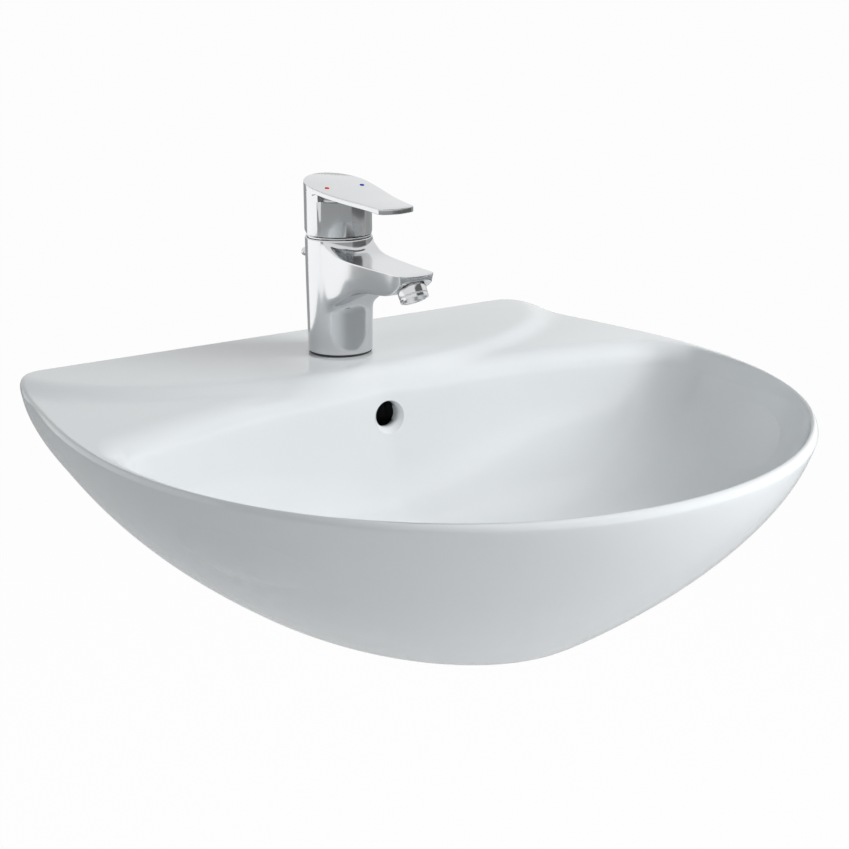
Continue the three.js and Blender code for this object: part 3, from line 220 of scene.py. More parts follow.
def makeCards():
    for name, (place, target, width, height, brightness) in cards.items():
        bm = bmesh.new()
        bmesh.ops.create_grid(bm, x_segments=1, y_segments=1, size=0.5)
        bmesh.ops.scale(bm, verts=bm.verts, vec=(width, height, 1))
        bmesh.ops.transform(bm, verts=bm.verts, matrix=facing(Vector(target) - Vector(place), place))
        card = looseObject(name, bm)
        card.visible_camera = card.visible_shadow = card.visible_diffuse = False
        material = bpy.data.materials.new(name)
        finish = Finish(material)
        glow = finish.node("ShaderNodeEmission", Color=plainColour(1, 1, 1), Strength=brightness)
        finish.node("ShaderNodeOutputMaterial", Surface=glow)
        card.data.materials.append(material)


bpy.context.scene.view_settings.view_transform = "Standard"
makeCamera()
makeLamps()
makeFloor()
makeWorld()
makeCards()
print("studio ready")


# finishes
# colour, second colour, roughness, spread of roughness, metal, size and height of the fine relief
finishes = {
    "glaze": ((0.80, 0.815, 0.825), (0.77, 0.785, 0.795), 0.085, 0.03, 0, 26, 0.00003),
    "chrome": ((0.655, 0.665, 0.675), (0.63, 0.64, 0.65), 0.14, 0.03, 1, 60, 0.000003),
    "steel": ((0.42, 0.43, 0.44), (0.33, 0.335, 0.34), 0.32, 0.14, 1, 420, 0.00003),
    "brass": ((0.55, 0.41, 0.19), (0.42, 0.29, 0.12), 0.34, 0.16, 1, 300, 0.00003),
    "rubber": ((0.025, 0.026, 0.028), (0.045, 0.046, 0.048), 0.72, 0.12, 0, 700, 0.00006),
    "white_plastic": ((0.74, 0.74, 0.70), (0.68, 0.68, 0.63), 0.42, 0.1, 0, 500, 0.00003),
    "grey_plastic": ((0.15, 0.165, 0.17), (0.19, 0.205, 0.21), 0.46, 0.1, 0, 500, 0.00003),
    "disc_ceramic": ((0.86, 0.83, 0.76), (0.80, 0.77, 0.69), 0.24, 0.08, 0, 260, 0.00002),
    "red_mark": ((0.92, 0.03, 0.015), (0.84, 0.02, 0.012), 0.4, 0.06, 0, 900, 0.00001),
    "blue_mark": ((0.016, 0.075, 0.55), (0.012, 0.055, 0.46), 0.4, 0.06, 0, 900, 0.00001),
}


# what all finishes share
# the last colour is a near black painted shade for the walls of the overflow duct
relief = {"broad": 6, "broadDetail": 3.0, "fineDetail": 4.0, "stops": (0.3, 0.7), "strength": 0.6,
          "specular": 0.5, "paintedDuctShade": (0.02, 0.022, 0.024)}


def makeFinish(name, first, second, rough, spread, metal, scale, height):
    material = bpy.data.materials.new(name)
    finish = Finish(material)
    place = finish.node("ShaderNodeTexCoord", output=3)
    broad = finish.node("ShaderNodeTexNoise", Vector=place, Scale=scale / relief["broad"],
                        Detail=relief["broadDetail"])
    fine = finish.node("ShaderNodeTexNoise", Vector=place, Scale=scale, Detail=relief["fineDetail"])
    stops = [(stop, plainColour(*tone)) for stop, tone in zip(relief["stops"], (first, second))]
    colour = finish.node("ShaderNodeValToRGB", Fac=broad, settings={"stops": stops})
    bumps = finish.node("ShaderNodeBump", Height=fine, Strength=relief["strength"], Distance=height)
    if name == "glaze":
        # inside the overflow duct the glaze colour is mixed to near black: painted shade
        inside = finish.node("ShaderNodeAttribute", settings={"attribute_name": "inside"}, output=2)
        colour = finish.blended(inside, colour, plainColour(*relief["paintedDuctShade"]))
    surface = finish.node("ShaderNodeBsdfPrincipled", Base_Color=colour, Metallic=float(metal),
                          Roughness=broad * spread + (rough - spread / 2), Normal=bumps,
                          Specular_IOR_Level=0.0 if name.endswith("mark") else relief["specular"])
    finish.node("ShaderNodeOutputMaterial", Surface=surface)
    return material


materials = {name: makeFinish(name, *values) for name, values in finishes.items()}
for node in nodes.values():
    for slot in node.material_slots:
        slot.material = materials[slot.material.name.split(".")[0]]
print("finishes ready")


# modelling helpers
def openLoop(bm, ring):
    loop = bmesh.ops.create_circle(bm, cap_ends=False, segments=len(ring), radius=1)["verts"]
    for vert, place in zip(loop, ring):
        vert.co = Vector(place) * mm
    return loop


def vertsOf(geometry):
    return [item for item in geometry if isinstance(item, bmesh.types.BMVert)]


def nextLoop(bm, loop, ring):
    edges = [bm.edges.get(pair) for pair in zip(loop, loop[1:] + loop[:1])]
    made = set(vertsOf(bmesh.ops.extrude_edge_only(bm, edges=edges)["geom"]))
    after = [next(e.other_vert(v) for e in v.link_edges if e.other_vert(v) in made) for v in loop]
    for vert, place in zip(after, ring):
        vert.co = Vector(place) * mm
    return after


def lofted(rings):
    bm = bmesh.new()
    loops = [openLoop(bm, rings[0])]
    for ring in rings[1:]:
        loops.append(nextLoop(bm, loops[-1], ring))
    for loop in (loops[0], loops[-1]):
        bm.faces.new(loop)
    bmesh.ops.recalc_face_normals(bm, faces=bm.faces)
    return bm, loops


def applied(item):
    bpy.context.view_layer.update()
    mesh = bpy.data.meshes.new_from_object(item.evaluated_get(bpy.context.evaluated_depsgraph_get()))
    item.modifiers.clear()
    old = item.data
    item.data = mesh
    bpy.data.meshes.remove(old)


def combined(item, other, operation):
    step = item.modifiers.new("combine", "BOOLEAN")
    step.operation = operation
    step.solver = "MANIFOLD"
    step.object = other
    applied(item)
    bpy.data.objects.remove(other)
    return item


def cut(item, *others):
    for other in others:
        combined(item, other, "DIFFERENCE")
    return item


def shaded(item, limit):
    bm = bmesh.new()
    bm.from_mesh(item.data)
    for face in bm.faces:
        face.smooth = True
    for edge in bm.edges:
        edge.smooth = len(edge.link_faces) == 2 and edge.calc_face_angle(0) < math.radians(limit)
    bm.to_mesh(item.data)
    bm.free()


# corners up to these angles are shaded smooth
smoothUpTo = {"basin": 35, "casting": 40, "lever": 32, "turned": 32, "nut": 25, "plug": 24, "thread": 60}


def finished(item, material, body, replaced, limit):
    shaded(item, limit)
    item.data.materials.clear()
    item.data.materials.append(materials[material])
    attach(item, body)
    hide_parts(*replaced)


def bezier(points, steps):
    a, b, c, d = points
    made = []
    for k in range(steps):
        t = k / steps
        s = 1 - t
        made.append(tuple(s ** 3 * a[i] + 3 * s * s * t * b[i] + 3 * s * t * t * c[i] + t ** 3 * d[i]
                          for i in range(len(a))))
    return made


def mixed(low, high, share):
    return low + (high - low) * share


# a smooth line through points with rising first values, read at x
def curveAt(points, x):
    count = len(points)
    if x <= points[0][0]:
        return points[0][1]
    if x >= points[-1][0]:
        return points[-1][1]
    k = next(i for i in range(count - 1) if points[i + 1][0] >= x)
    slopes = []
    rises = [(b[1] - a[1]) / (b[0] - a[0]) for a, b in zip(points, points[1:])]
    for i in (k, k + 1):
        before = rises[i - 1] if i > 0 else None
        after = rises[i] if i + 1 < count else None
        if before is None or after is None:
            slopes.append(after if before is None else before)
        elif before * after <= 0:
            slopes.append(0)
        else:
            slopes.append(2 * before * after / (before + after))
    (x0, y0), (x1, y1) = points[k], points[k + 1]
    span = x1 - x0
    t = (x - x0) / span
    return ((2 * t ** 3 - 3 * t * t + 1) * y0 + (t ** 3 - 2 * t * t + t) * span * slopes[0]
            + (3 * t * t - 2 * t ** 3) * y1 + (t ** 3 - t * t) * span * slopes[1])


# basin
basinShape = {
    "halfWidth": 271, "depth": 504, "widest": 202, "cornerHalf": 252, "cornerStart": 34, "cornerRound": 25,
    "cornerPulls": (0.17, 0.4, 0.5), "frontCurve": 0.565, "sideCurve": 0.36,
    "steps": (44, 12, 7, 12),
    "height": 160, "footWidth": 0.5, "footDepth": 0.715, "sideFall": 1.62, "frontFall": 1.61, "footRound": 3,
    "footGap": 0.8, "shellLevels": 18, "rimEdge": 5.4, "rimShare": 0.9, "rimWidth": 12, "rimArc": 7,
    "deckRise": 6.5, "deckHalf": 268, "deckDepth": 155, "deckFlat": 0.9, "deckEnd": 1.01, "deckRings": 22,
    "rollShare": 0.6, "rollMost": 26, "dropMost": 18, "rollArc": 8,
    "bowlHalf": 258.5, "bowlWing": 240, "bowlBack": 153,
    "wingBack": ((1, 0.985), (0.93, 0.845), (0.79, 0.775), (0.55, 0.705), (0.3, 0.665)),
    "bowlDepth": 124,
    "bowlProfile": ((0, 1), (0.15, 0.99), (0.32, 0.965), (0.5, 0.905), (0.648, 0.79), (0.754, 0.645),
                    (0.848, 0.49), (0.925, 0.32), (0.975, 0.15), (1, 0)),
    "bowlScales": (1, 0.995, 0.985, 0.97, 0.95, 0.925, 0.895, 0.86, 0.82, 0.78, 0.735, 0.69, 0.64, 0.58, 0.51,
                   0.43, 0.34, 0.24, 0.12, 0),
    "drain": 250, "drainSeat": 36, "boreRadius": 22.5, "bossRadius": 37, "bossHeight": 26,
    "wall": 12, "flange": 15, "deckThickness": 16.5, "spaceHalf": 178,
    "spaceLevels": (0.06, 0.18, 0.3, 0.42, 0.55, 0.68, 0.8, 0.9, 1),
    "backLevels": (0.35, 0.48, 0.6, 0.7, 0.8, 0.88, 0.93),
    "notch": (96, 78), "skin": 9, "throat": 14, "ductHalf": 11, "ductFloor": 7.2,
    "overflow": 10.4, "overflowDrop": 32, "overflowFlare": 2.2, "flareReach": 12, "flareWide": 5.5,
    "flareSteps": ((1.5, -0.5), (0.75, 0.15), (0.25, 0.65), (0, 1.5)),
    "tapHole": 17.5, "tapPlace": 85, "fixings": (140, 58, 7.8), "past": 5, "markNear": 0.2,
}


def rimHalf():
    s = basinShape
    front, sides, corner, back = s["steps"]
    side = (s["halfWidth"], -s["widest"])
    turn = (s["cornerHalf"], -s["cornerStart"])
    backEnd = (s["cornerHalf"] - s["cornerRound"], 0)
    reach = s["depth"] - s["widest"]
    sideReach = s["widest"] - s["cornerStart"]
    pull, wallPull, endPull = s["cornerPulls"]
    return [
        *bezier([(0, -s["depth"]), (s["halfWidth"] * s["frontCurve"], -s["depth"]),
                 (s["halfWidth"], -s["widest"] - reach * s["frontCurve"]), side], front),
        *bezier([side, (s["halfWidth"], side[1] + sideReach * s["sideCurve"]),
                 (turn[0] + s["cornerRound"] * s["sideCurve"], turn[1] - sideReach * s["sideCurve"]), turn],
                sides),
        *bezier([turn, (turn[0] - s["cornerRound"] * pull, -s["cornerStart"] * wallPull),
                 (backEnd[0] + s["cornerRound"] * endPull, 0), backEnd], corner),
        *[(backEnd[0] * (1 - k / back), 0) for k in range(back + 1)],
    ]


# points at even steps on a smooth curve through the given ones
def spacedSpline(points, count, density=40):
    dense = []
    for k in range(len(points) - 1):
        p = [points[max(k - 1, 0)], points[k], points[k + 1], points[min(k + 2, len(points) - 1)]]
        for j in range(density):
            t = j / density
            dense.append(tuple(0.5 * (2 * p[1][i] + (p[2][i] - p[0][i]) * t
                                      + (2 * p[0][i] - 5 * p[1][i] + 4 * p[2][i] - p[3][i]) * t * t
                                      + (3 * p[1][i] - p[0][i] - 3 * p[2][i] + p[3][i]) * t ** 3)
                               for i in range(2)))
    dense.append(points[-1])
    lengths = [0]
    for a, b in zip(dense, dense[1:]):
        lengths.append(lengths[-1] + math.dist(a, b))
    made = []
    k = 0
    for j in range(count + 1):
        want = lengths[-1] * j / count
        while k < len(dense) - 2 and lengths[k + 1] < want:
            k += 1
        share = (want - lengths[k]) / max(lengths[k + 1] - lengths[k], 1e-9)
        made.append(tuple(mixed(dense[k][i], dense[k + 1][i], share) for i in range(2)))
    return made


def lipHalf():
    s = basinShape
    front, sides, corner, back = s["steps"]
    wing = (s["bowlHalf"], -s["bowlWing"])
    start = s["rimWidth"] - s["depth"]
    reach = s["depth"] - s["rimWidth"] - s["bowlWing"]
    lead = bezier([(0, start), (s["bowlHalf"] * s["frontCurve"], start),
                   (s["bowlHalf"], wing[1] - reach * s["frontCurve"]), wing], front)
    knots = [(s["bowlHalf"] * x, -s["bowlWing"] * y) for x, y in s["wingBack"]] + [(0, -s["bowlBack"])]
    return lead + spacedSpline(knots, sides + corner + back)


def bothHalves(half):
    return half + [(-x, y) for x, y in reversed(half[1:-1])]


def deckHeight(x, y):
    s = basinShape
    reach = math.hypot(x / s["deckHalf"], y / s["deckDepth"])
    t = min(max((reach - s["deckFlat"]) / (s["deckEnd"] - s["deckFlat"]), 0), 1)
    return s["deckRise"] * (1 - t * t * (3 - 2 * t))


def shellRing(rim, depth):
    s = basinShape
    wide = 1 - (1 - s["footWidth"]) * (depth / s["height"]) ** s["sideFall"]
    deep = 1 - (1 - s["footDepth"]) * (depth / s["height"]) ** s["frontFall"]
    return wide, deep, [(x * wide, y * deep, -depth) for x, y in rim]


def basinRings(rim, lip):
    s = basinShape
    edge = s["rimEdge"]
    rings = [[(x * (s["footWidth"] - s["footRound"] / s["halfWidth"]),
               y * (s["footDepth"] - s["footRound"] / s["depth"]), -s["height"]) for x, y in rim]]
    for k in range(s["shellLevels"], 0, -1):
        depth = edge + (s["height"] - s["footGap"] - edge) * k / s["shellLevels"]
        rings.append(shellRing(rim, depth)[2])
    widths = [math.dist(a, b) for a, b in zip(rim, lip)]
    rolls = [min(width * s["rollShare"], s["rollMost"]) for width in widths]

    # one ring of the deck, from how far in and how far below the surface each of its points lies
    def deckRing(points):
        ring = []
        for (rimX, rimY), (lipX, lipY), width, (inset, fall) in zip(rim, lip, widths, points):
            x, y = mixed(rimX, lipX, inset / width), mixed(rimY, lipY, inset / width)
            ring.append((x, y, deckHeight(x, y) - fall))
        rings.append(ring)

    inner = edge * s["rimShare"]
    for step in range(s["rimArc"] + 1):
        angle = math.pi / 2 * step / s["rimArc"]
        deckRing([(inner * (1 - math.cos(angle)), edge * (1 - math.sin(angle)))] * len(rim))
    for step in range(1, s["deckRings"]):
        share = step / s["deckRings"]
        deckRing([(mixed(inner, width - roll, share), 0) for width, roll in zip(widths, rolls)])
    for step in range(s["rollArc"]):
        share = 1 - math.sin(math.pi / 2 * step / s["rollArc"])
        fall = 1 - math.sqrt(1 - (1 - share) ** 2)
        deckRing([(width - roll * share, min(roll, s["dropMost"]) * fall)
                  for width, roll in zip(widths, rolls)])
    seats = []
    for x, y in lip:
        angle = math.atan2(y + s["drain"], x)
        seats.append((s["drainSeat"] * math.cos(angle), s["drainSeat"] * math.sin(angle) - s["drain"]))
    for scale in s["bowlScales"]:
        fall = curveAt(s["bowlProfile"], scale)
        rings.append([(mixed(seat[0], x, scale), mixed(seat[1], y, scale),
                       -mixed(min(roll, s["dropMost"]), s["bowlDepth"], fall))
                      for seat, (x, y), roll in zip(seats, lip, rolls)])
    return rings


# distance of the bowl's back from the wall at a depth, on the centre line
def bowlBackAt(depth):
    s = basinShape
    places = [(mixed(s["dropMost"], s["bowlDepth"], fall),
               mixed(s["drain"] - s["drainSeat"], s["bowlBack"], scale))
              for scale, fall in reversed(s["bowlProfile"])]
    return curveAt(places, depth)


# points down the bowl's back at a distance behind it
def alongBack(distance):
    depths = [basinShape["bowlDepth"] * share for share in basinShape["backLevels"]]
    return [(-bowlBackAt(depth) + distance, -depth) for depth in depths]


# a flat outline of (y, z) points, as deep as given to both sides of the centre plane
def slab(name, outline, half):
    bm = bmesh.new()
    face = bm.faces.new([bm.verts.new(Vector((-half, y, z)) * mm) for y, z in outline])
    made = bmesh.ops.extrude_face_region(bm, geom=[face])["geom"]
    bmesh.ops.translate(bm, vec=(2 * half * mm, 0, 0), verts=vertsOf(made))
    bmesh.ops.recalc_face_normals(bm, faces=bm.faces)
    return looseObject(name, bm)


# a profile of (radius, height) points turned about an axis through a place; poles are closed by the spin
def turned(name, profile, place=(0, 0, 0), axis=(0, 0, 1), segments=72):
    bm = bmesh.new()
    verts = [bm.verts.new(Vector((radius, 0, height)) * mm) for radius, height in profile]
    edges = [bm.edges.new(pair) for pair in zip(verts, verts[1:])]
    if profile[0][0] > 0 and profile[-1][0] > 0:
        edges.append(bm.edges.new((verts[-1], verts[0])))
    bmesh.ops.spin(bm, geom=verts + edges, cent=(0, 0, 0), axis=(0, 0, 1), angle=2 * math.pi, steps=segments,
                   use_merge=True)
    bmesh.ops.remove_doubles(bm, verts=bm.verts, dist=1e-6)
    bmesh.ops.recalc_face_normals(bm, faces=bm.faces)
    halfStep = Matrix.Rotation(math.pi / segments, 4, "Z")  # keeps corners off the centre plane
    bmesh.ops.transform(bm, verts=bm.verts, matrix=facing(axis, Vector(place) * mm) @ halfStep)
    return looseObject(name, bm)


def rod(name, radius, start, end, segments=48):
    run = Vector(end) - Vector(start)
    return turned(name, [(0, 0), (radius, 0), (radius, run.length), (0, run.length)], start, run, segments)


def block(name, low, high, place=(0, 0, 0)):
    bm = bmesh.new()
    bmesh.ops.create_cube(bm, size=1)
    size = Vector(high) - Vector(low)
    bmesh.ops.scale(bm, verts=bm.verts, vec=size * mm)
    bmesh.ops.translate(bm, verts=bm.verts, vec=(Vector(place) + Vector(low) + size / 2) * mm)
    return looseObject(name, bm)


# a band along the bowl's back that then runs forward to the drain under the bowl
def ductBand(front, back, top, skin):
    s = basinShape
    turn = -bowlBackAt(s["bowlDepth"])
    return [(-bowlBackAt(top) + back, -top), (-bowlBackAt(top) + front, -top), *alongBack(front),
            (turn + front, -s["bowlDepth"] - skin), (-s["drain"], -s["bowlDepth"] - skin),
            (-s["drain"], -s["bowlDepth"] - s["bossHeight"] + skin),
            (turn + back, -s["bowlDepth"] - s["bossHeight"] + skin), *reversed(alongBack(back))]


# the space behind and below the bowl, less the boss and the rib of the overflow duct
def basinSpace(rim):
    s = basinShape
    rings = []
    for share in s["spaceLevels"]:
        wide, deep, _ = shellRing(rim, s["height"] * share)
        wide -= s["wall"] / s["halfWidth"]
        front = deep * s["depth"] - s["wall"]
        rings.append([(x * wide, -s["flange"] + y / s["depth"] * (front - s["flange"]), -s["height"] * share)
                      for x, y in rim])
    rings.append([(x, y, -s["height"] - s["past"]) for x, y, _ in rings[-1]])
    bm, _ = lofted(rings)
    space = looseObject("space", bm)
    under = s["deckRise"] - s["deckThickness"]
    ceiling = -s["bowlDepth"] - s["wall"]
    low = -s["height"] - 2 * s["past"]
    outline = [(-s["flange"], low), (-s["flange"], under), (-s["bowlBack"] + 2 * s["wall"], under),
               *alongBack(s["wall"]), (-bowlBackAt(s["bowlDepth"]) + 2 * s["wall"], ceiling),
               (-s["depth"], ceiling), (-s["depth"], low)]
    combined(space, slab("outline", outline, s["spaceHalf"]), "INTERSECT")
    rib = slab("rib", ductBand(s["skin"] / 2, 2 * s["skin"] + s["throat"], s["deckThickness"] / 2, 0),
               s["ductHalf"] + s["skin"])
    drain = (0, -s["drain"], -s["bowlDepth"])
    boss = turned("boss", [(0, -s["bossHeight"]), (s["bossRadius"], -s["bossHeight"]), (s["bossRadius"], 0),
                           (0, 0)], drain)
    return cut(space, rib, boss)


def basinHoles():
    s = basinShape
    top = s["overflowDrop"] - s["overflow"]
    yield slab("duct", ductBand(s["skin"], s["skin"] + s["throat"], top, s["ductFloor"]), s["ductHalf"])
    face = -bowlBackAt(s["overflowDrop"])
    r, flare = s["overflow"], s["overflowFlare"]
    end = s["skin"] + s["throat"] / 2
    profile = [(0, -s["flareReach"]), (r + s["flareWide"] * flare, -s["flareReach"]),
               *[(r + wide * flare, deep * flare) for wide, deep in s["flareSteps"]], (r, end), (0, end)]
    yield turned("overflow", profile, (0, face, -s["overflowDrop"]), (0, 1, 0), 64)
    yield rod("bore", s["boreRadius"], (0, -s["drain"], -s["bowlDepth"] - s["bossHeight"] - s["past"]),
              (0, -s["drain"], -s["bowlDepth"] + s["past"]), 64)
    yield rod("tapHole", s["tapHole"], (0, -s["tapPlace"], -s["deckThickness"] - s["past"]),
              (0, -s["tapPlace"], s["deckRise"] + s["past"]), 64)
    half, drop = s["notch"]
    yield block("notch", (-half, -s["flange"] - s["past"], -s["height"] - s["past"]),
                (half, s["past"], -drop))
    x, z, radius = s["fixings"]
    for side in (-1, 1):
        yield rod("fixing", radius, (side * x, -s["flange"] - s["past"], -z), (side * x, s["past"], -z), 40)


def makeBasin():
    rim = bothHalves(rimHalf())
    lip = bothHalves(lipHalf())
    bm, _ = lofted(basinRings(rim, lip))
    basin = looseObject("basin_glazed", bm)
    step = basin.modifiers.new("fine", "SUBSURF")
    step.levels = step.render_levels = 1
    applied(basin)
    cut(basin, basinSpace(rim), *basinHoles())
    markPaintedDuctShade(basin)
    return basin


# the walls of the overflow duct are marked, and the glaze is painted near black there as painted shade inside
# the duct
def markPaintedDuctShade(basin):
    s = basinShape
    mark = basin.data.attributes.new("inside", "FLOAT", "POINT")
    near = s["markNear"]
    floor = near - s["bowlDepth"] - s["ductFloor"]
    ceiling = s["overflow"] - s["overflowDrop"] + near
    for vert, item in zip(basin.data.vertices, mark.data):
        x, y, z = vert.co / mm
        back = bowlBackAt(-z) + y
        upright = -s["bowlDepth"] < z < ceiling and s["skin"] - near < back < s["skin"] + s["throat"] + near
        low = -s["bowlDepth"] - s["bossHeight"] + s["ductFloor"] - near < z < floor
        low = low and y > s["boreRadius"] - s["drain"]
        item.value = float(abs(x) < s["ductHalf"] + near and (upright or low))


finished(makeBasin(), "glaze", "basin_set", ["basin"], smoothUpTo["basin"])
print("basin ready")


# tap body
tapPlace = Vector((0, -85, 6.5))  # the tap's axis where it meets the deck
tapShape = {
    "columns": 32, "spread": 5, "low": 2.1, "top": 94.5, "lowRadius": 26.2, "topRadius": 27.1,
    "straight": 68.3, "crestDrop": 2.2, "lip": (0.7, 0.35), "rimCrease": 0.9, "edgeCrease": 0.7,
    "frontCreases": (0.75, 0.6), "patch": (22, 8), "sidePower": 0.9, "frontPower": 2.6, "smoothing": 3,
    "past": 5, "socketPast": 6,
    "rows": (2.1, 2.7, 12, 24, 33, 41), "sideRows": 5,
    "topLine": ((-111, 79.2), (-108.8, 79.8), (-88.8, 80.3), (-66.6, 80.9), (-44.4, 81.7), (-33.3, 83),
                (-25.5, 85.9), (-20.5, 89.2), (-15, 92.6), (-11, 93)),
    "underLine": ((-112, 75.7), (-92, 62.5), (-86.6, 60.9), (-65.5, 59.5), (-47.7, 56.9), (-38.9, 53.7),
                  (-31.6, 48.7), (-27, 42)),
    # where the top and the underside are, half the width, how far the middle stands forward, and the taper
    "stations": ((-30.5, -30.5, 21.1, 0, 0.06), (-37, -37, 20.9, 0, 0.13), (-46, -46, 20.2, 0, 0.2),
                 (-58, -57, 19.3, 0, 0.2), (-72, -71, 18.2, 0, 0.2), (-84, -83, 17.3, 0, 0.19),
                 (-92, -91, 16.9, 0.5, 0.16), (-99, -97, 16.8, 1.3, 0.12), (-104, -102.6, 16.6, 2.3, 0.09),
                 (-107.2, -106.2, 16.1, 3.2, 0.07), (-108.4, -107.6, 15.2, 3.5, 0.07)),
    "chamber": (18.2, 55.5), "hollow": (21, 44.1), "groove": (3, 21.4, 35), "pocket": (9.4, 27),
    "socket": (9.7, 9.4, 14.8), "aerator": (-105.7, 60.2, 30),
}


# a point above the tap's foot or another place
def raised(height, place=tapPlace):
    return place + Vector((0, 0, height))


def aeratorPoint(rise):
    reach, height, tilt = tapShape["aerator"]
    angle = math.radians(tilt)
    return Vector((0, reach + rise * math.sin(angle), height + rise * math.cos(angle))) + tapPlace


def bodyRadius(z):
    s = tapShape
    share = min(max((z - s["low"]) / (s["straight"] - s["low"]), 0), 1)
    return mixed(s["lowRadius"], s["topRadius"], share) / (2 / 3 + math.cos(2 * math.pi / s["columns"]) / 3)


def makeTapBody():
    s = tapShape
    count, spread = s["columns"], s["spread"]
    middle = count // 2
    step = 2 * math.pi / count

    def ring(heights, inset=0):
        made = []
        for k, z in enumerate(heights):
            angle = (k - middle) * step
            radius = bodyRadius(z) - inset
            made.append(tapPlace + Vector((radius * math.sin(angle), -radius * math.cos(angle), z)))
        return made

    # the spout's top meets the body along this height, column by column
    crest = []
    for k in range(count):
        angle = abs((k - middle) * step)
        y = -s["topRadius"] * math.cos(min(angle, spread * step))
        crest.append(min(curveAt(s["topLine"], y), s["top"] - s["crestDrop"]))
    rings = [ring([z] * count) for z in s["rows"]]
    lowSide = s["rows"][-1]
    for row in range(1, s["sideRows"] + 1):
        rings.append(ring([mixed(lowSide, high, row / s["sideRows"]) for high in crest]))
    drop, inset = s["lip"]
    rings.append(ring([s["top"] - drop] * count))
    rings.append(ring([s["top"]] * count, inset))
    bm, loops = lofted(rings)
    crease = bm.edges.layers.float.new("crease_edge")
    for loop in (loops[0], loops[-1]):
        for pair in zip(loop, loop[1:] + loop[:1]):
            bm.edges.get(pair)[crease] = s["rimCrease"]
    low, high = loops[len(s["rows"]) - 1], loops[len(s["rows"]) - 1 + s["sideRows"]]
    columns = list(range(middle - spread, middle + spread + 1))
    side = loops[len(s["rows"]): len(s["rows"]) - 1 + s["sideRows"]]
    border = ([low[k] for k in columns] + [loop[columns[-1]] for loop in side]
              + [high[k] for k in reversed(columns)] + [loop[columns[0]] for loop in reversed(side)])
    inner = {v for loop in side for v in (loop[k] for k in columns[1:-1])}
    borderSet = set(border)
    centre, near = s["patch"]
    patch = [f for f in bm.faces if all(v in inner or v in borderSet for v in f.verts)
             and abs(f.calc_center_median().y - (tapPlace.y - centre) * mm) < near * mm]
    bmesh.ops.delete(bm, geom=patch, context="FACES")
    bmesh.ops.delete(bm, geom=[v for v in inner if v.is_valid and not v.link_faces], context="VERTS")
    places = ([(u / spread, 0) for u in range(-spread, spread + 1)]
              + [(1, row / s["sideRows"]) for row in range(1, s["sideRows"])]
              + [(u / spread, 1) for u in range(spread, -spread - 1, -1)]
              + [(-1, 1 - row / s["sideRows"]) for row in range(1, s["sideRows"])])
    loop = border
    for number, (topY, lowY, half, bulge, taper) in enumerate(s["stations"]):
        target = []
        for u, v in places:
            forward = bulge * (1 - abs(u) ** s["frontPower"])
            above, below = topY - forward, lowY - forward
            x = half * math.copysign(abs(u) ** s["sidePower"], u) * (1 - taper * (1 - v))
            z = mixed(curveAt(s["underLine"], below), curveAt(s["topLine"], above), v)
            target.append(tapPlace + Vector((x, mixed(below, above, v), z)))
        after = nextLoop(bm, loop, target)
        for k, place in enumerate(places):
            if place in ((-1, 1), (1, 1)):
                bm.edges.get((loop[k], after[k]))[crease] = s["edgeCrease"] * min(1, (number + 1) / 3)
        loop = after
    rows = []
    for k, pair in enumerate(zip(loop, loop[1:] + loop[:1])):
        edge = bm.edges.get(pair)
        v = (places[k][1] + places[(k + 1) % len(places)][1]) / 2
        edge[crease] = s["frontCreases"][0 if v == 1 else 1]
        if v in (0, 1):
            rows.append(edge)
    bmesh.ops.grid_fill(bm, edges=rows, mat_nr=0, use_smooth=True, use_interp_simple=True)
    bmesh.ops.recalc_face_normals(bm, faces=bm.faces)
    body = looseObject("tap_casting", bm)
    fine = body.modifiers.new("fine", "SUBSURF")
    fine.levels = fine.render_levels = s["smoothing"]
    applied(body)
    radius, low = s["chamber"]
    wide, high = s["hollow"]
    floor, roof = -s["past"], s["top"] + s["past"]
    half, start, end = s["groove"]
    near, far = s["pocket"]
    bore, inside, outside = s["socket"]
    return cut(body, rod("chamber", radius, raised(low), raised(roof), 64),
               rod("hollow", wide, raised(floor), raised(high), 64),
               block("groove", (-half, start, floor), (half, end, roof), tapPlace),
               block("pocket", (-half, near, floor), (half, far, high), tapPlace),
               rod("socket", bore, aeratorPoint(inside - s["socketPast"]), aeratorPoint(outside)))


finished(makeTapBody(), "chrome", "basin_set", ["tap_body"], smoothUpTo["casting"])
print("tap body ready")


# lever
leverShape = {
    "bottom": 96.8, "top": 136.2, "hub": 27.3, "frontStep": 0.9, "frontAngle": 64, "reach": 86, "fall": 9.6,
    "topShares": ((-1, 1), (-0.755, 0.81), (-0.52, 0.63), (-0.29, 0.39), (-0.115, 0.165), (0, 0),
                  (0.163, -0.27), (0.34, -0.6)),
    "tip": (16, 3.3, 2.4), "pulls": (0.3, 1, 0.62, 0.96), "steps": (44, 14, 30), "edge": 0.55, "plate": 4.4,
    "underRings": 8, "notch": (6, 7, 4.6), "hollow": (20, 6), "pivot": 90.3, "lift": 15,
    "screw": (2.8, 11), "plug": (3.9, 3.3), "spindle": (3.3, 3.8, 19.3), "dot": (16.3, 9.9, 1.9, 1.0),
    "roundSteps": 4, "underShares": (0.3, 0.7), "underBend": 2.4, "notchBack": 0.6,
    "notchEdge": ((0.05, 0.5), (0.45, 0)), "footEdge": ((0.6, 0), (0.2, 0.12), (0, 0.6)), "hollowEdge": 0.3,
    "past": 5,
}


def leverTopAt(y):
    s = leverShape
    return s["top"] - s["fall"] * curveAt(s["topShares"], y / s["reach"])


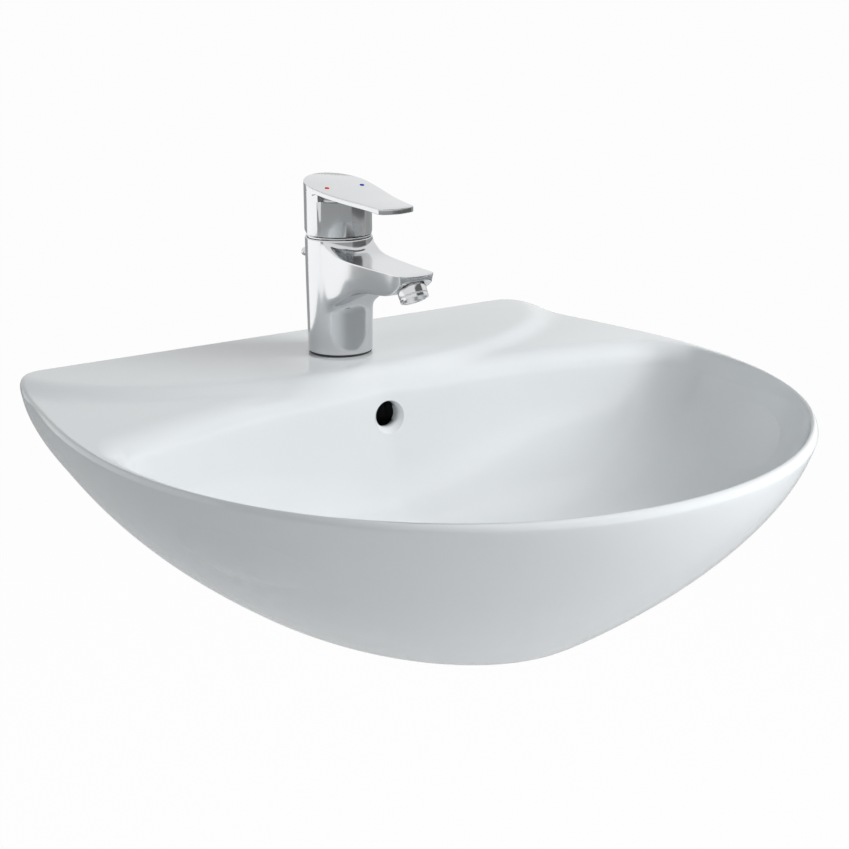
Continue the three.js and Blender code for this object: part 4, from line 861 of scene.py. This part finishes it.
def leverHalf():
    s = leverShape
    half, bulge, corner = s["tip"]
    pull, straight, tipPull, narrow = s["pulls"]
    side, tip, back = s["steps"]
    tipStart = (half, bulge + corner - s["reach"])
    lead = [(s["hub"] * math.sin(math.pi * k / back / 2), s["hub"] * math.cos(math.pi * k / back / 2))
            for k in range(back)]
    lead += bezier([(s["hub"], 0), (s["hub"] * straight, -s["reach"] * pull),
                    (half / narrow, -s["reach"] * tipPull), tipStart], side)
    lead += bezier([tipStart, (half, bulge - s["reach"]), (half - corner, bulge / 2 - s["reach"]),
                    (0, -s["reach"])], tip)
    return lead + [(0, -s["reach"])]


# a dot's centre on the lever's top, and the direction that the top faces there
def dotPlace(side):
    x, y = leverShape["dot"][:2]
    up = Vector((0, leverTopAt(-y - 1) - leverTopAt(-y), 1)).normalized()
    return tapPlace + Vector((side * x, -y, leverTopAt(-y))), up


# the outline moved inwards by a distance
def insetLoop(outline, distance):
    made = []
    for k, (x, y) in enumerate(outline):
        before, after = outline[k - 1], outline[(k + 1) % len(outline)]
        run = Vector((after[0] - before[0], after[1] - before[1])).normalized()
        made.append((x + run.y * distance, y - run.x * distance))
    return made


def makeLever():
    s = leverShape
    outline = bothHalves(leverHalf())
    front = math.radians(s["frontAngle"])
    edgeY = -s["hub"] * math.cos(front)
    lengths = [0]
    ahead = [k for k, (x, y) in enumerate(outline) if y < edgeY]
    for a, b in zip(ahead, ahead[1:]):
        lengths.append(lengths[-1] + math.dist(outline[a], outline[b]))
    turns = {k: mixed(front, -front, length / lengths[-1]) for k, length in zip(ahead, lengths)}
    hub = []
    for k, (x, y) in enumerate(outline):
        angle = turns.get(k, math.atan2(x, -y))
        hub.append((math.sin(angle), -math.cos(angle), k in turns))

    def hubRing(height, inset, frontInset):
        made = []
        for x, y, ahead in hub:
            radius = s["hub"] - (frontInset if ahead else inset)
            made.append((x * radius, y * radius, height))
        return made

    edge = s["edge"]
    rings = []
    # the rounding goes from the top face to the side
    for step in range(s["roundSteps"] + 1):
        angle = math.pi / 2 / s["roundSteps"] * step
        inset = edge * (1 - math.sin(angle))
        rings.append([(x, y, leverTopAt(oy) - edge * (1 - math.cos(angle)))
                      for (x, y), (_, oy) in zip(insetLoop(outline, inset), outline)])
    rings.append([(x, y, leverTopAt(y) - s["plate"] + edge) for x, y in outline])
    wall = hubRing(0, 0, s["frontStep"])
    overhangs = [min(math.dist(o, h[:2]), 1) for o, h in zip(outline, wall)]
    for share in s["underShares"]:
        rings.append([(x, y, leverTopAt(oy) - s["plate"] + edge * (1 - share) ** 2 - (1 - o) * share)
                      for (x, y), (_, oy), o in zip(insetLoop(outline, edge * share * share * 0.5), outline,
                                                     overhangs)])
    depth, notchDrop, notchHeight = s["notch"]
    notchTop = s["top"] - notchDrop
    for step in range(1, s["underRings"] + 1):
        share = step / s["underRings"]
        ring = []
        for (x, y), (hx, hy, _), over in zip(outline, wall, overhangs):
            px, py = mixed(x, hx, share), mixed(y, hy, share)
            ring.append((px, py, leverTopAt(py) - s["plate"] - (1 - over) * (1 + s["underBend"] * share)))
        rings.append(ring)
    last = rings[-1]
    inside = hubRing(0, 0, depth)
    rings.append([(hx, hy, min(z, notchTop) if ahead else z - s["notchBack"])
                  for (hx, hy, _), (x, y, z), (_, _, ahead) in zip(inside, last, hub)])
    rings.append(hubRing(notchTop - notchHeight, 0, depth))
    for drop, inset in s["notchEdge"]:
        rings.append(hubRing(notchTop - notchHeight - drop, 0, s["frontStep"] + inset))
    for height, inset in s["footEdge"]:
        rings.append(hubRing(s["bottom"] + height, inset, s["frontStep"] + inset))
    radius, rise = s["hollow"]
    inset, small = s["hub"] - radius, s["hollowEdge"]
    rings.append(hubRing(s["bottom"], inset - small, inset - small))
    rings.append(hubRing(s["bottom"] + small, inset, inset))
    rings.append(hubRing(s["bottom"] + rise, inset, inset))
    rings = [[tapPlace + Vector(place) for place in ring] for ring in rings]
    bm, loops = lofted(rings)
    top = loops[0]
    count = len(top)
    for k in range(1, count // 2):
        bmesh.ops.connect_verts(bm, verts=[top[k], top[count - k]])
    handle = looseObject("lever_casting", bm)
    lift = math.radians(s["lift"])
    arm = s["bottom"] - s["pivot"]
    start = -(arm / math.cos(lift) - arm) / math.tan(lift)
    past = s["past"]
    far = s["hub"] + past
    rise = s["pivot"] + (arm + far * math.sin(lift)) / math.cos(lift)
    room = [(start, s["bottom"]), (start, s["bottom"] - past), (far, s["bottom"] - past), (far, rise)]
    room = [(tapPlace.y + y, tapPlace.z + z) for y, z in room]
    halfX, halfY, tall = s["spindle"]
    radius, rise = s["screw"]
    wide, deep = s["plug"]
    middle = raised(s["bottom"] + rise)
    outside = middle + Vector((0, far, 0))
    cut(handle, slab("room", room, far),
        block("seat", (-halfX, -halfY, s["bottom"] - 1), (halfX, halfY, s["bottom"] + tall), tapPlace),
        rod("screw", radius, middle, outside),
        rod("plug", wide, middle + Vector((0, s["hub"] - deep, 0)), outside))
    radius, deep = s["dot"][2:]
    for centre, up in map(dotPlace, (-1, 1)):
        cut(handle, rod("dot", radius, centre - up * deep, centre + up * past, 40))
    return handle


finished(makeLever(), "chrome", "lever", ["lever_handle"], smoothUpTo["lever"])
print("lever ready")


# turned and hexagonal pieces: corners of a profile get a small radius
def rounded(profile, radius, closed=False):
    made = []
    count = len(profile)
    for k, point in enumerate(profile):
        if not closed and k in (0, count - 1):
            made.append(point)
            continue
        p, before, after = Vector(point), Vector(profile[k - 1]), Vector(profile[(k + 1) % count])
        cut = min(radius, 0.45 * (p - before).length, 0.45 * (after - p).length)
        start, end = p + (before - p).normalized() * cut, p + (after - p).normalized() * cut
        for t in (0, 0.33, 0.67, 1):
            made.append(tuple(start * (1 - t) ** 2 + p * 2 * t * (1 - t) + end * t ** 2))
    return made


def tube(outer, inner, low, high, edge=0.35):
    return rounded([(inner, low), (outer, low), (outer, high), (inner, high)], edge, True)


def pin(radius, low, high, edge=0.4):
    return rounded([(0, low), (radius, low), (radius, high), (0, high)], edge)


# the ridges of a thread: where each rises, is full and falls, as shares of the pitch
def threadRidges(radius, low, high, pitch, depth, shares):
    points = []
    for k in range(int((high - low) / pitch)):
        for share, level in zip(shares, (radius - depth, radius, radius)):
            points.append((level, low + pitch * k + pitch * share))
    return points


# a rod with a thread from one height to another
def threaded(radius, low, high, pitch, depth):
    ridges = threadRidges(radius, low, high, pitch, depth, (0.12, 0.46, 0.6))
    return [(0, low), (radius - depth, low), *ridges, (radius - depth, high), (0, high)]


# one finished piece in place of one node; the profile's heights run along the axis from the place
def turnedPiece(name, material, body, profile, place, axis=(0, 0, 1), cutters=(), added=(), segments=64,
                limit=smoothUpTo["turned"]):
    made = turned(name + "_made", profile, place, axis, segments)
    for part in added:
        combined(made, part, "UNION")
    finished(cut(made, *cutters), material, body, [name], limit)


nutShape = {"chamfer": 0.55, "inset": 0.2, "past": 0.05, "lead": 0.6, "pitch": 1.5, "ridge": (0.28, 0.5, 1)}


# a hexagonal nut with chamfered corners and a threaded bore
def nutPiece(name, material, body, flats, bore, thick, place, axis):
    s = nutShape
    corner = flats / math.sqrt(3)
    slope = (corner - flats / 2) * s["chamfer"]
    inner, outer = flats / 2 - s["inset"], corner + s["past"]
    profile = [(0, 0), (inner, 0), (outer, slope), (outer, thick - slope), (inner, thick), (0, thick)]
    made = turned(name + "_made", profile, place, axis, 96)
    bm = bmesh.new()
    bmesh.ops.create_cone(bm, cap_ends=True, segments=6, radius1=corner, radius2=corner, depth=thick + 2)
    bmesh.ops.scale(bm, verts=bm.verts, vec=(mm, mm, mm))
    middle = (Vector(place) + Vector(axis).normalized() * thick / 2) * mm
    bmesh.ops.transform(bm, verts=bm.verts, matrix=facing(axis, middle))
    combined(made, looseObject("hexagon", bm), "INTERSECT")
    lead = s["lead"]
    hole = [(0, -1), (bore + lead, -1), (bore + lead, 0), (bore, lead)]
    span = thick - 2 * lead
    ridges = max(int(span / s["pitch"]), 1)
    deep, rise, fall = s["ridge"]
    for k in range(ridges):
        z = lead + span * k / ridges
        hole += [(bore + deep, z + rise), (bore, z + fall)]
    hole += [(bore + lead, thick), (bore + lead, thick + 1), (0, thick + 1)]
    cut(made, turned("bore", hole, place, axis, 48))
    finished(made, material, body, [name], smoothUpTo["nut"])


# wall fixing
wallShape = {
    "side": 140, "drop": 58, "stud": (5, 0.3, 46, 1.6, 0.5), "washer": (14, 5.3, 18.1, 20.6),
    "nut": (17, 5.3, 8, 20.9),
    "bush": ((5.3, 0.3), (7.5, 0.3), (7.5, 15.3), (11, 15.3), (11, 17.8), (5.3, 17.8)),
}


def makeWallFixing(side, label):
    s = wallShape
    place = Vector((side * s["side"], 0, -s["drop"]))
    out = Vector((0, -1, 0))
    turnedPiece(f"wall_stud_{label}", "steel", "basin_set", threaded(*s["stud"]), place, out,
                limit=smoothUpTo["thread"])
    turnedPiece(f"wall_bush_{label}", "white_plastic", "basin_set",
                rounded(s["bush"], radius=0.5, closed=True), place, out)
    turnedPiece(f"wall_washer_{label}", "steel", "basin_set", tube(*s["washer"]), place, out)
    flats, bore, thick, start = s["nut"]
    nutPiece(f"wall_nut_{label}", "steel", "basin_set", flats, bore, thick, place + out * start, out)


makeWallFixing(-1, "left")
makeWallFixing(1, "right")

# small tap pieces
tapPieces = {
    "gasket": (25.6, 18.8, 0.3, 1.8), "cover": (26.3, 13, 94.8, 96.2),
    "housing": ((9.4, 0), (11, 0), (11.05, 2.4), (10.8, 2.7), (10.8, 3.1), (11.1, 3.4), (11.2, 9), (9.4, 9),
                (9.4, 12.6), (7.8, 12.6), (7.8, 4.6), (9.1, 1.2)),
    "notch": (9.4, 14, 1.5, 1.6), "insert": (7.5, 4.3, 12.3), "holes": (4.4, 6, 1.1),
    "plug": (3.6, 24.3, 27), "dot": (1.88, -0.7, 0.6), "supply": (5, 3.6, -58, 49.8), "supplySide": 8.5,
    "stud": (3.6, -48, 49.8, 1.25, 0.4), "studForward": 9.8, "nut": (13, 3.9, 7, -28.4), "drill": 20,
}


def makeTapPieces():
    s = tapPieces
    turnedPiece("base_gasket", "rubber", "basin_set", tube(*s["gasket"], edge=0.5), tapPlace, segments=96)
    turnedPiece("cover_ring", "chrome", "basin_set", tube(*s["cover"], edge=0.45), tapPlace, segments=128)
    outlet, along = aeratorPoint(0), aeratorPoint(1) - aeratorPoint(0)
    inner, outer, half, deep = s["notch"]
    cutters = []
    tilt = Matrix.Rotation(-math.radians(tapShape["aerator"][2]), 4, "X")
    for side in (-1, 1):
        low, high = sorted((side * inner, side * outer))
        cutter = block("notch", (low, -half, -tapShape["past"]), (high, half, deep))
        cutter.data.transform(Matrix.Translation(outlet * mm) @ tilt)
        cutters.append(cutter)
    turnedPiece("aerator_housing", "chrome", "basin_set",
                rounded(s["housing"], radius=0.3, closed=True), outlet, along, cutters, segments=80)
    radius, low, high = s["insert"]
    drills = []
    cross = Vector((1, 0, 0))
    ring, count, hole = s["holes"]
    for k in range(count):
        angle = 2 * math.pi * k / count
        spot = outlet + cross * ring * math.cos(angle) + along.cross(cross) * ring * math.sin(angle)
        drills.append(rod("drill", hole, spot, spot + along * s["drill"], 24))
    turnedPiece("aerator_insert", "grey_plastic", "basin_set", pin(radius, low, high), outlet, along, drills)
    radius, start, end = s["plug"]
    height = leverShape["bottom"] + leverShape["screw"][1]
    turnedPiece("lever_plug", "chrome", "lever", pin(radius, start, end, 0.6), raised(height), (0, 1, 0),
                segments=40)
    radius, low, high = s["dot"]
    button = rounded([(0, low), (radius, low), (radius, high * 0.5), (0, high)], 0.3)
    for side, label, mark in ((-1, "hot", "red_mark"), (1, "cold", "blue_mark")):
        turnedPiece(f"{label}_dot", mark, "lever", button, *dotPlace(side), segments=40)
        turnedPiece(f"{label}_supply_tube", "brass", "basin_set", tube(*s["supply"]),
                    tapPlace + Vector((side * s["supplySide"], 0, 0)))
    at = tapPlace + Vector((0, -s["studForward"], 0))
    turnedPiece("tap_stud", "steel", "basin_set", threaded(*s["stud"]), at, limit=smoothUpTo["thread"])
    flats, bore, thick, low = s["nut"]
    nutPiece("tap_nut", "brass", "basin_set", flats, bore, thick, raised(low, at), (0, 0, 1))


makeTapPieces()
print("tap pieces ready")

# lift rod
rodShape = {
    "radius": 2.4, "sides": 20, "steps": 72, "edge": 0.5,
    "route": ((24.4, 77.5), (24.4, 50.9), (24.4, 24.3), (18.4, 14.4), (12.4, 4.5), (12.4, -33.7),
              (12.4, -72)),
    "pin": (2.2, 24.4, 46.4, 74),
    "knob": ((2.5, 40.6), (3.1, 40.6), (3.6, 41.3), (3.6, 43.2), (2.9, 43.6), (2.8, 44.6), (2.8, 49.4),
             (3.4, 50), (3.6, 50.6), (3.6, 53.2), (2.9, 54), (0, 54), (0, 46.7), (2.5, 46.7)),
}


def makeLiftRod():
    s = rodShape
    route = spacedSpline(list(s["route"]), s["steps"])
    radius, edge, last = s["radius"], s["edge"], len(route) - 1
    stops = [(0, radius - edge, 0), (0, radius, edge), *[(k, radius, 0) for k in range(1, last)],
             (last, radius, -edge), (last, radius - edge, 0)]
    rings = []
    for k, wide, slip in stops:
        (y, z), before, after = route[k], route[max(k - 1, 0)], route[min(k + 1, last)]
        run = Vector((after[0] - before[0], after[1] - before[1])).normalized()
        ring = []
        for j in range(s["sides"]):
            angle = 2 * math.pi * (j + 0.5) / s["sides"]
            across = wide * math.sin(angle)
            ring.append(tapPlace + Vector((wide * math.cos(angle), y + run.x * slip - run.y * across,
                                           z + run.y * slip + run.x * across)))
        rings.append(ring)
    bm, _ = lofted(rings)
    radius, start, end, height = s["pin"]
    level = raised(height)
    arm = turned("arm", pin(radius, start, end), level, (0, 1, 0), 32)
    bent = combined(looseObject("lift_rod_made", bm), arm, "UNION")
    finished(bent, "chrome", "lift_rod_set", ["lift_rod"], smoothUpTo["casting"])
    turnedPiece("rod_knob", "chrome", "lift_rod_set", s["knob"], level, (0, 1, 0), segments=48)


makeLiftRod()
print("lift rod ready")

# waste
wastePlace = Vector((0, -250, -124))
wasteShape = {
    "body": ((17.6, 3.4), (17.6, -60.1), (13.6, -62.5), (13.6, -77.5), (16, -77.5), (16, -64.9),
             (21.6, -62.5)),
    "flange": ((21.6, 2.2), (32, 2.2), (32, 3.4), (30.8, 4.6), (18.8, 4.6)),
    "thread": (21.6, -58, -28, 2, 0.5), "threadShares": (0.1, 0.5, 0.62), "pivotLevel": -53.2,
    "boss": (9, 19.6, 34), "bossBore": (6.4, 39),
    "slot": (8, 50, -18, -8), "seal": (30, 21.9, 0.3, 1.9),
    "cone": ((21.9, -33.3), (27, -33.3), (33, -26.3), (21.9, -26.3)), "nut": (58, 21.9, 8.6, -42.2),
    "ball": 5, "ballReach": 30, "ballArc": 14, "pivotRod": (2, -36, 84, 0.6), "tilt": 6.15,
    "cap": ((9.3, 29.6), (11, 29.6), (11, 37.6), (4, 37.6), (4, 35.6), (6.4, 35.6), (6.4, 34.3), (9.3, 34.3)),
    "knurls": (18, 11.5, 0.9), "knurlRun": (20, 50), "plugSeal": (17, 4.3, 9.07, 11.07),
    "plugTop": ((0, 11.37), (27.84, 11.37), (28.7, 11.75), (29, 12.33), (28.75, 12.8), (27.5, 13.3),
                (23.2, 14.6), (17.4, 15.3), (11.6, 15.75), (5.8, 16.05), (0, 16.15)),
    "stem": (4, -47.4, 13), "fins": (17, 1.2, -26, 8.77), "eye": (7.6, 4.2, 2.5, -51.57), "eyePast": 10,
    "screw": ((0, -69.9), (2.2, -69.9), (2.2, -66.3), (4.2, -66.3), (4.2, -60.3), (0, -60.3)),
    "screwHeight": -57.1, "screwKnurls": (20, 4.45, 0.5), "screwRun": (-66, -59),
}


# small rods spaced around an axis, used to cut a grip
def gripCutters(count, ring, radius, place, axis, low, high):
    axis = Vector(axis).normalized()
    first = Vector((1, 0, 0))
    second = axis.cross(first)
    for k in range(count):
        angle = 2 * math.pi * (k + 0.5) / count
        spot = Vector(place) + first * ring * math.cos(angle) + second * ring * math.sin(angle)
        yield rod("grip", radius, spot + axis * low, spot + axis * high, 10)


def makeWaste():
    s = wasteShape
    radius, low, high, _, depth = s["thread"]
    thread = threadRidges(*s["thread"], s["threadShares"]) + [(radius - depth, high)]
    inside = rounded([*s["body"], (radius, low)], 0.4)[1:-1]
    profile = inside + thread + rounded([(radius, high), *s["flange"]], 0.5)
    out = Vector((0, 1, 0))
    level = raised(s["pivotLevel"], wastePlace)
    size, start, end = s["boss"]
    boss = turned("boss", pin(size, start, end, 0.5), level, out, 48)
    bore, far = s["bossBore"]
    hole = turned("hole", [(0, 0), (bore, 0), (bore, far), (0, far)], level, out, 48)
    half, reach, low, high = s["slot"]
    slot = block("slot", (-half, -reach, low), (half, reach, high), wastePlace)
    turnedPiece("waste_body", "chrome", "basin_set", profile, wastePlace, (0, 0, 1), (hole, slot), (boss,),
                96, smoothUpTo["casting"])
    turnedPiece("flange_seal", "rubber", "basin_set", tube(*s["seal"]), wastePlace, segments=96)
    turnedPiece("cone_washer", "rubber", "basin_set",
                rounded(s["cone"], radius=0.5, closed=True), wastePlace, segments=96)
    flats, bore, thick, low = s["nut"]
    nutPiece("back_nut", "brass", "basin_set", flats, bore, thick, raised(low, wastePlace), (0, 0, 1))
    turnedPiece("pivot_nut", "white_plastic", "basin_set", rounded(s["cap"], radius=0.4, closed=True),
                level, out, gripCutters(*s["knurls"], level, out, *s["knurlRun"]))
    tilt = math.radians(s["tilt"])
    along = Vector((0, math.cos(tilt), -math.sin(tilt)))
    radius, start, end, bevel = s["pivotRod"]
    ball, steps = s["ball"], s["ballArc"]
    lead = math.asin(radius / ball)
    turns = [lead + (math.pi - 2 * lead) * k / steps for k in range(steps + 1)]
    profile = [(0, start), (radius - bevel, start), (radius, start + bevel),
               *[(ball * math.sin(angle), -ball * math.cos(angle)) for angle in turns],
               (radius, end - bevel), (radius - bevel, end), (0, end)]
    turnedPiece("pivot_rod", "steel", "pivot_rod_set", profile, level + out * s["ballReach"], along,
                segments=32)


def makePlug():
    s = wasteShape
    radius, low, high = s["stem"]
    stem = rod("stem", radius, raised(low, wastePlace), raised(high, wastePlace), 32)
    reach, half, low, high = s["fins"]
    fins = [block("fin", (-x, -y, low), (x, y, high), wastePlace) for x, y in ((reach, half), (half, reach))]
    outer, inner, half, height = s["eye"]
    centre = raised(height, wastePlace)
    eye = turned("eye", pin(outer, -half, half), centre, (0, 1, 0), 48)
    past = Vector((0, s["eyePast"], 0))
    hole = rod("hole", inner, centre - past, centre + past, 40)
    turnedPiece("pop_up_plug", "chrome", "plug", s["plugTop"], wastePlace, (0, 0, 1), (hole,),
                (stem, *fins, eye), 96, smoothUpTo["plug"])
    turnedPiece("plug_seal", "rubber", "plug", tube(*s["plugSeal"]), wastePlace, segments=72)
    place = Vector((0, 0, s["screwHeight"]))
    grips = gripCutters(*s["screwKnurls"], place, (0, 1, 0), *s["screwRun"])
    turnedPiece("strap_screw", "steel", "lift_rod_set", rounded(s["screw"], 0.4), place, (0, 1, 0), grips,
                segments=48)


makeWaste()
makePlug()
print("waste ready")


# corners of a node are joined within a distance, faces merged up to an angle, and edges rounded above another
refining = {"join": 2e-6, "flat": 1, "sharp": 35}


# a copy of a node with small rounded edges, in its place
def refined(name, material, body, width):
    node = nodes[name]
    bm = bmesh.new()
    bm.from_mesh(node.data)
    bm.transform(node.matrix_world)
    bmesh.ops.remove_doubles(bm, verts=bm.verts, dist=refining["join"])
    bmesh.ops.dissolve_limit(bm, angle_limit=math.radians(refining["flat"]), verts=bm.verts, edges=bm.edges)
    limit = math.radians(refining["sharp"])
    sharp = [e for e in bm.edges if len(e.link_faces) == 2 and e.calc_face_angle(0) > limit]
    bmesh.ops.bevel(bm, geom=sharp, offset=width * mm, segments=2, affect="EDGES", profile=0.5, material=-1,
                    clamp_overlap=True)
    finished(looseObject(name + "_made", bm), material, body, [name], smoothUpTo["casting"])


for name, material, body, width in (("rubber_horseshoe", "rubber", "basin_set", 0.4),
                                    ("steel_horseshoe", "steel", "basin_set", 0.35),
                                    ("spring_clip", "steel", "pivot_rod_set", 0.2),
                                    ("clevis_strap", "steel", "lift_rod_set", 0.3)):
    refined(name, material, body, width)
print("small pieces ready")
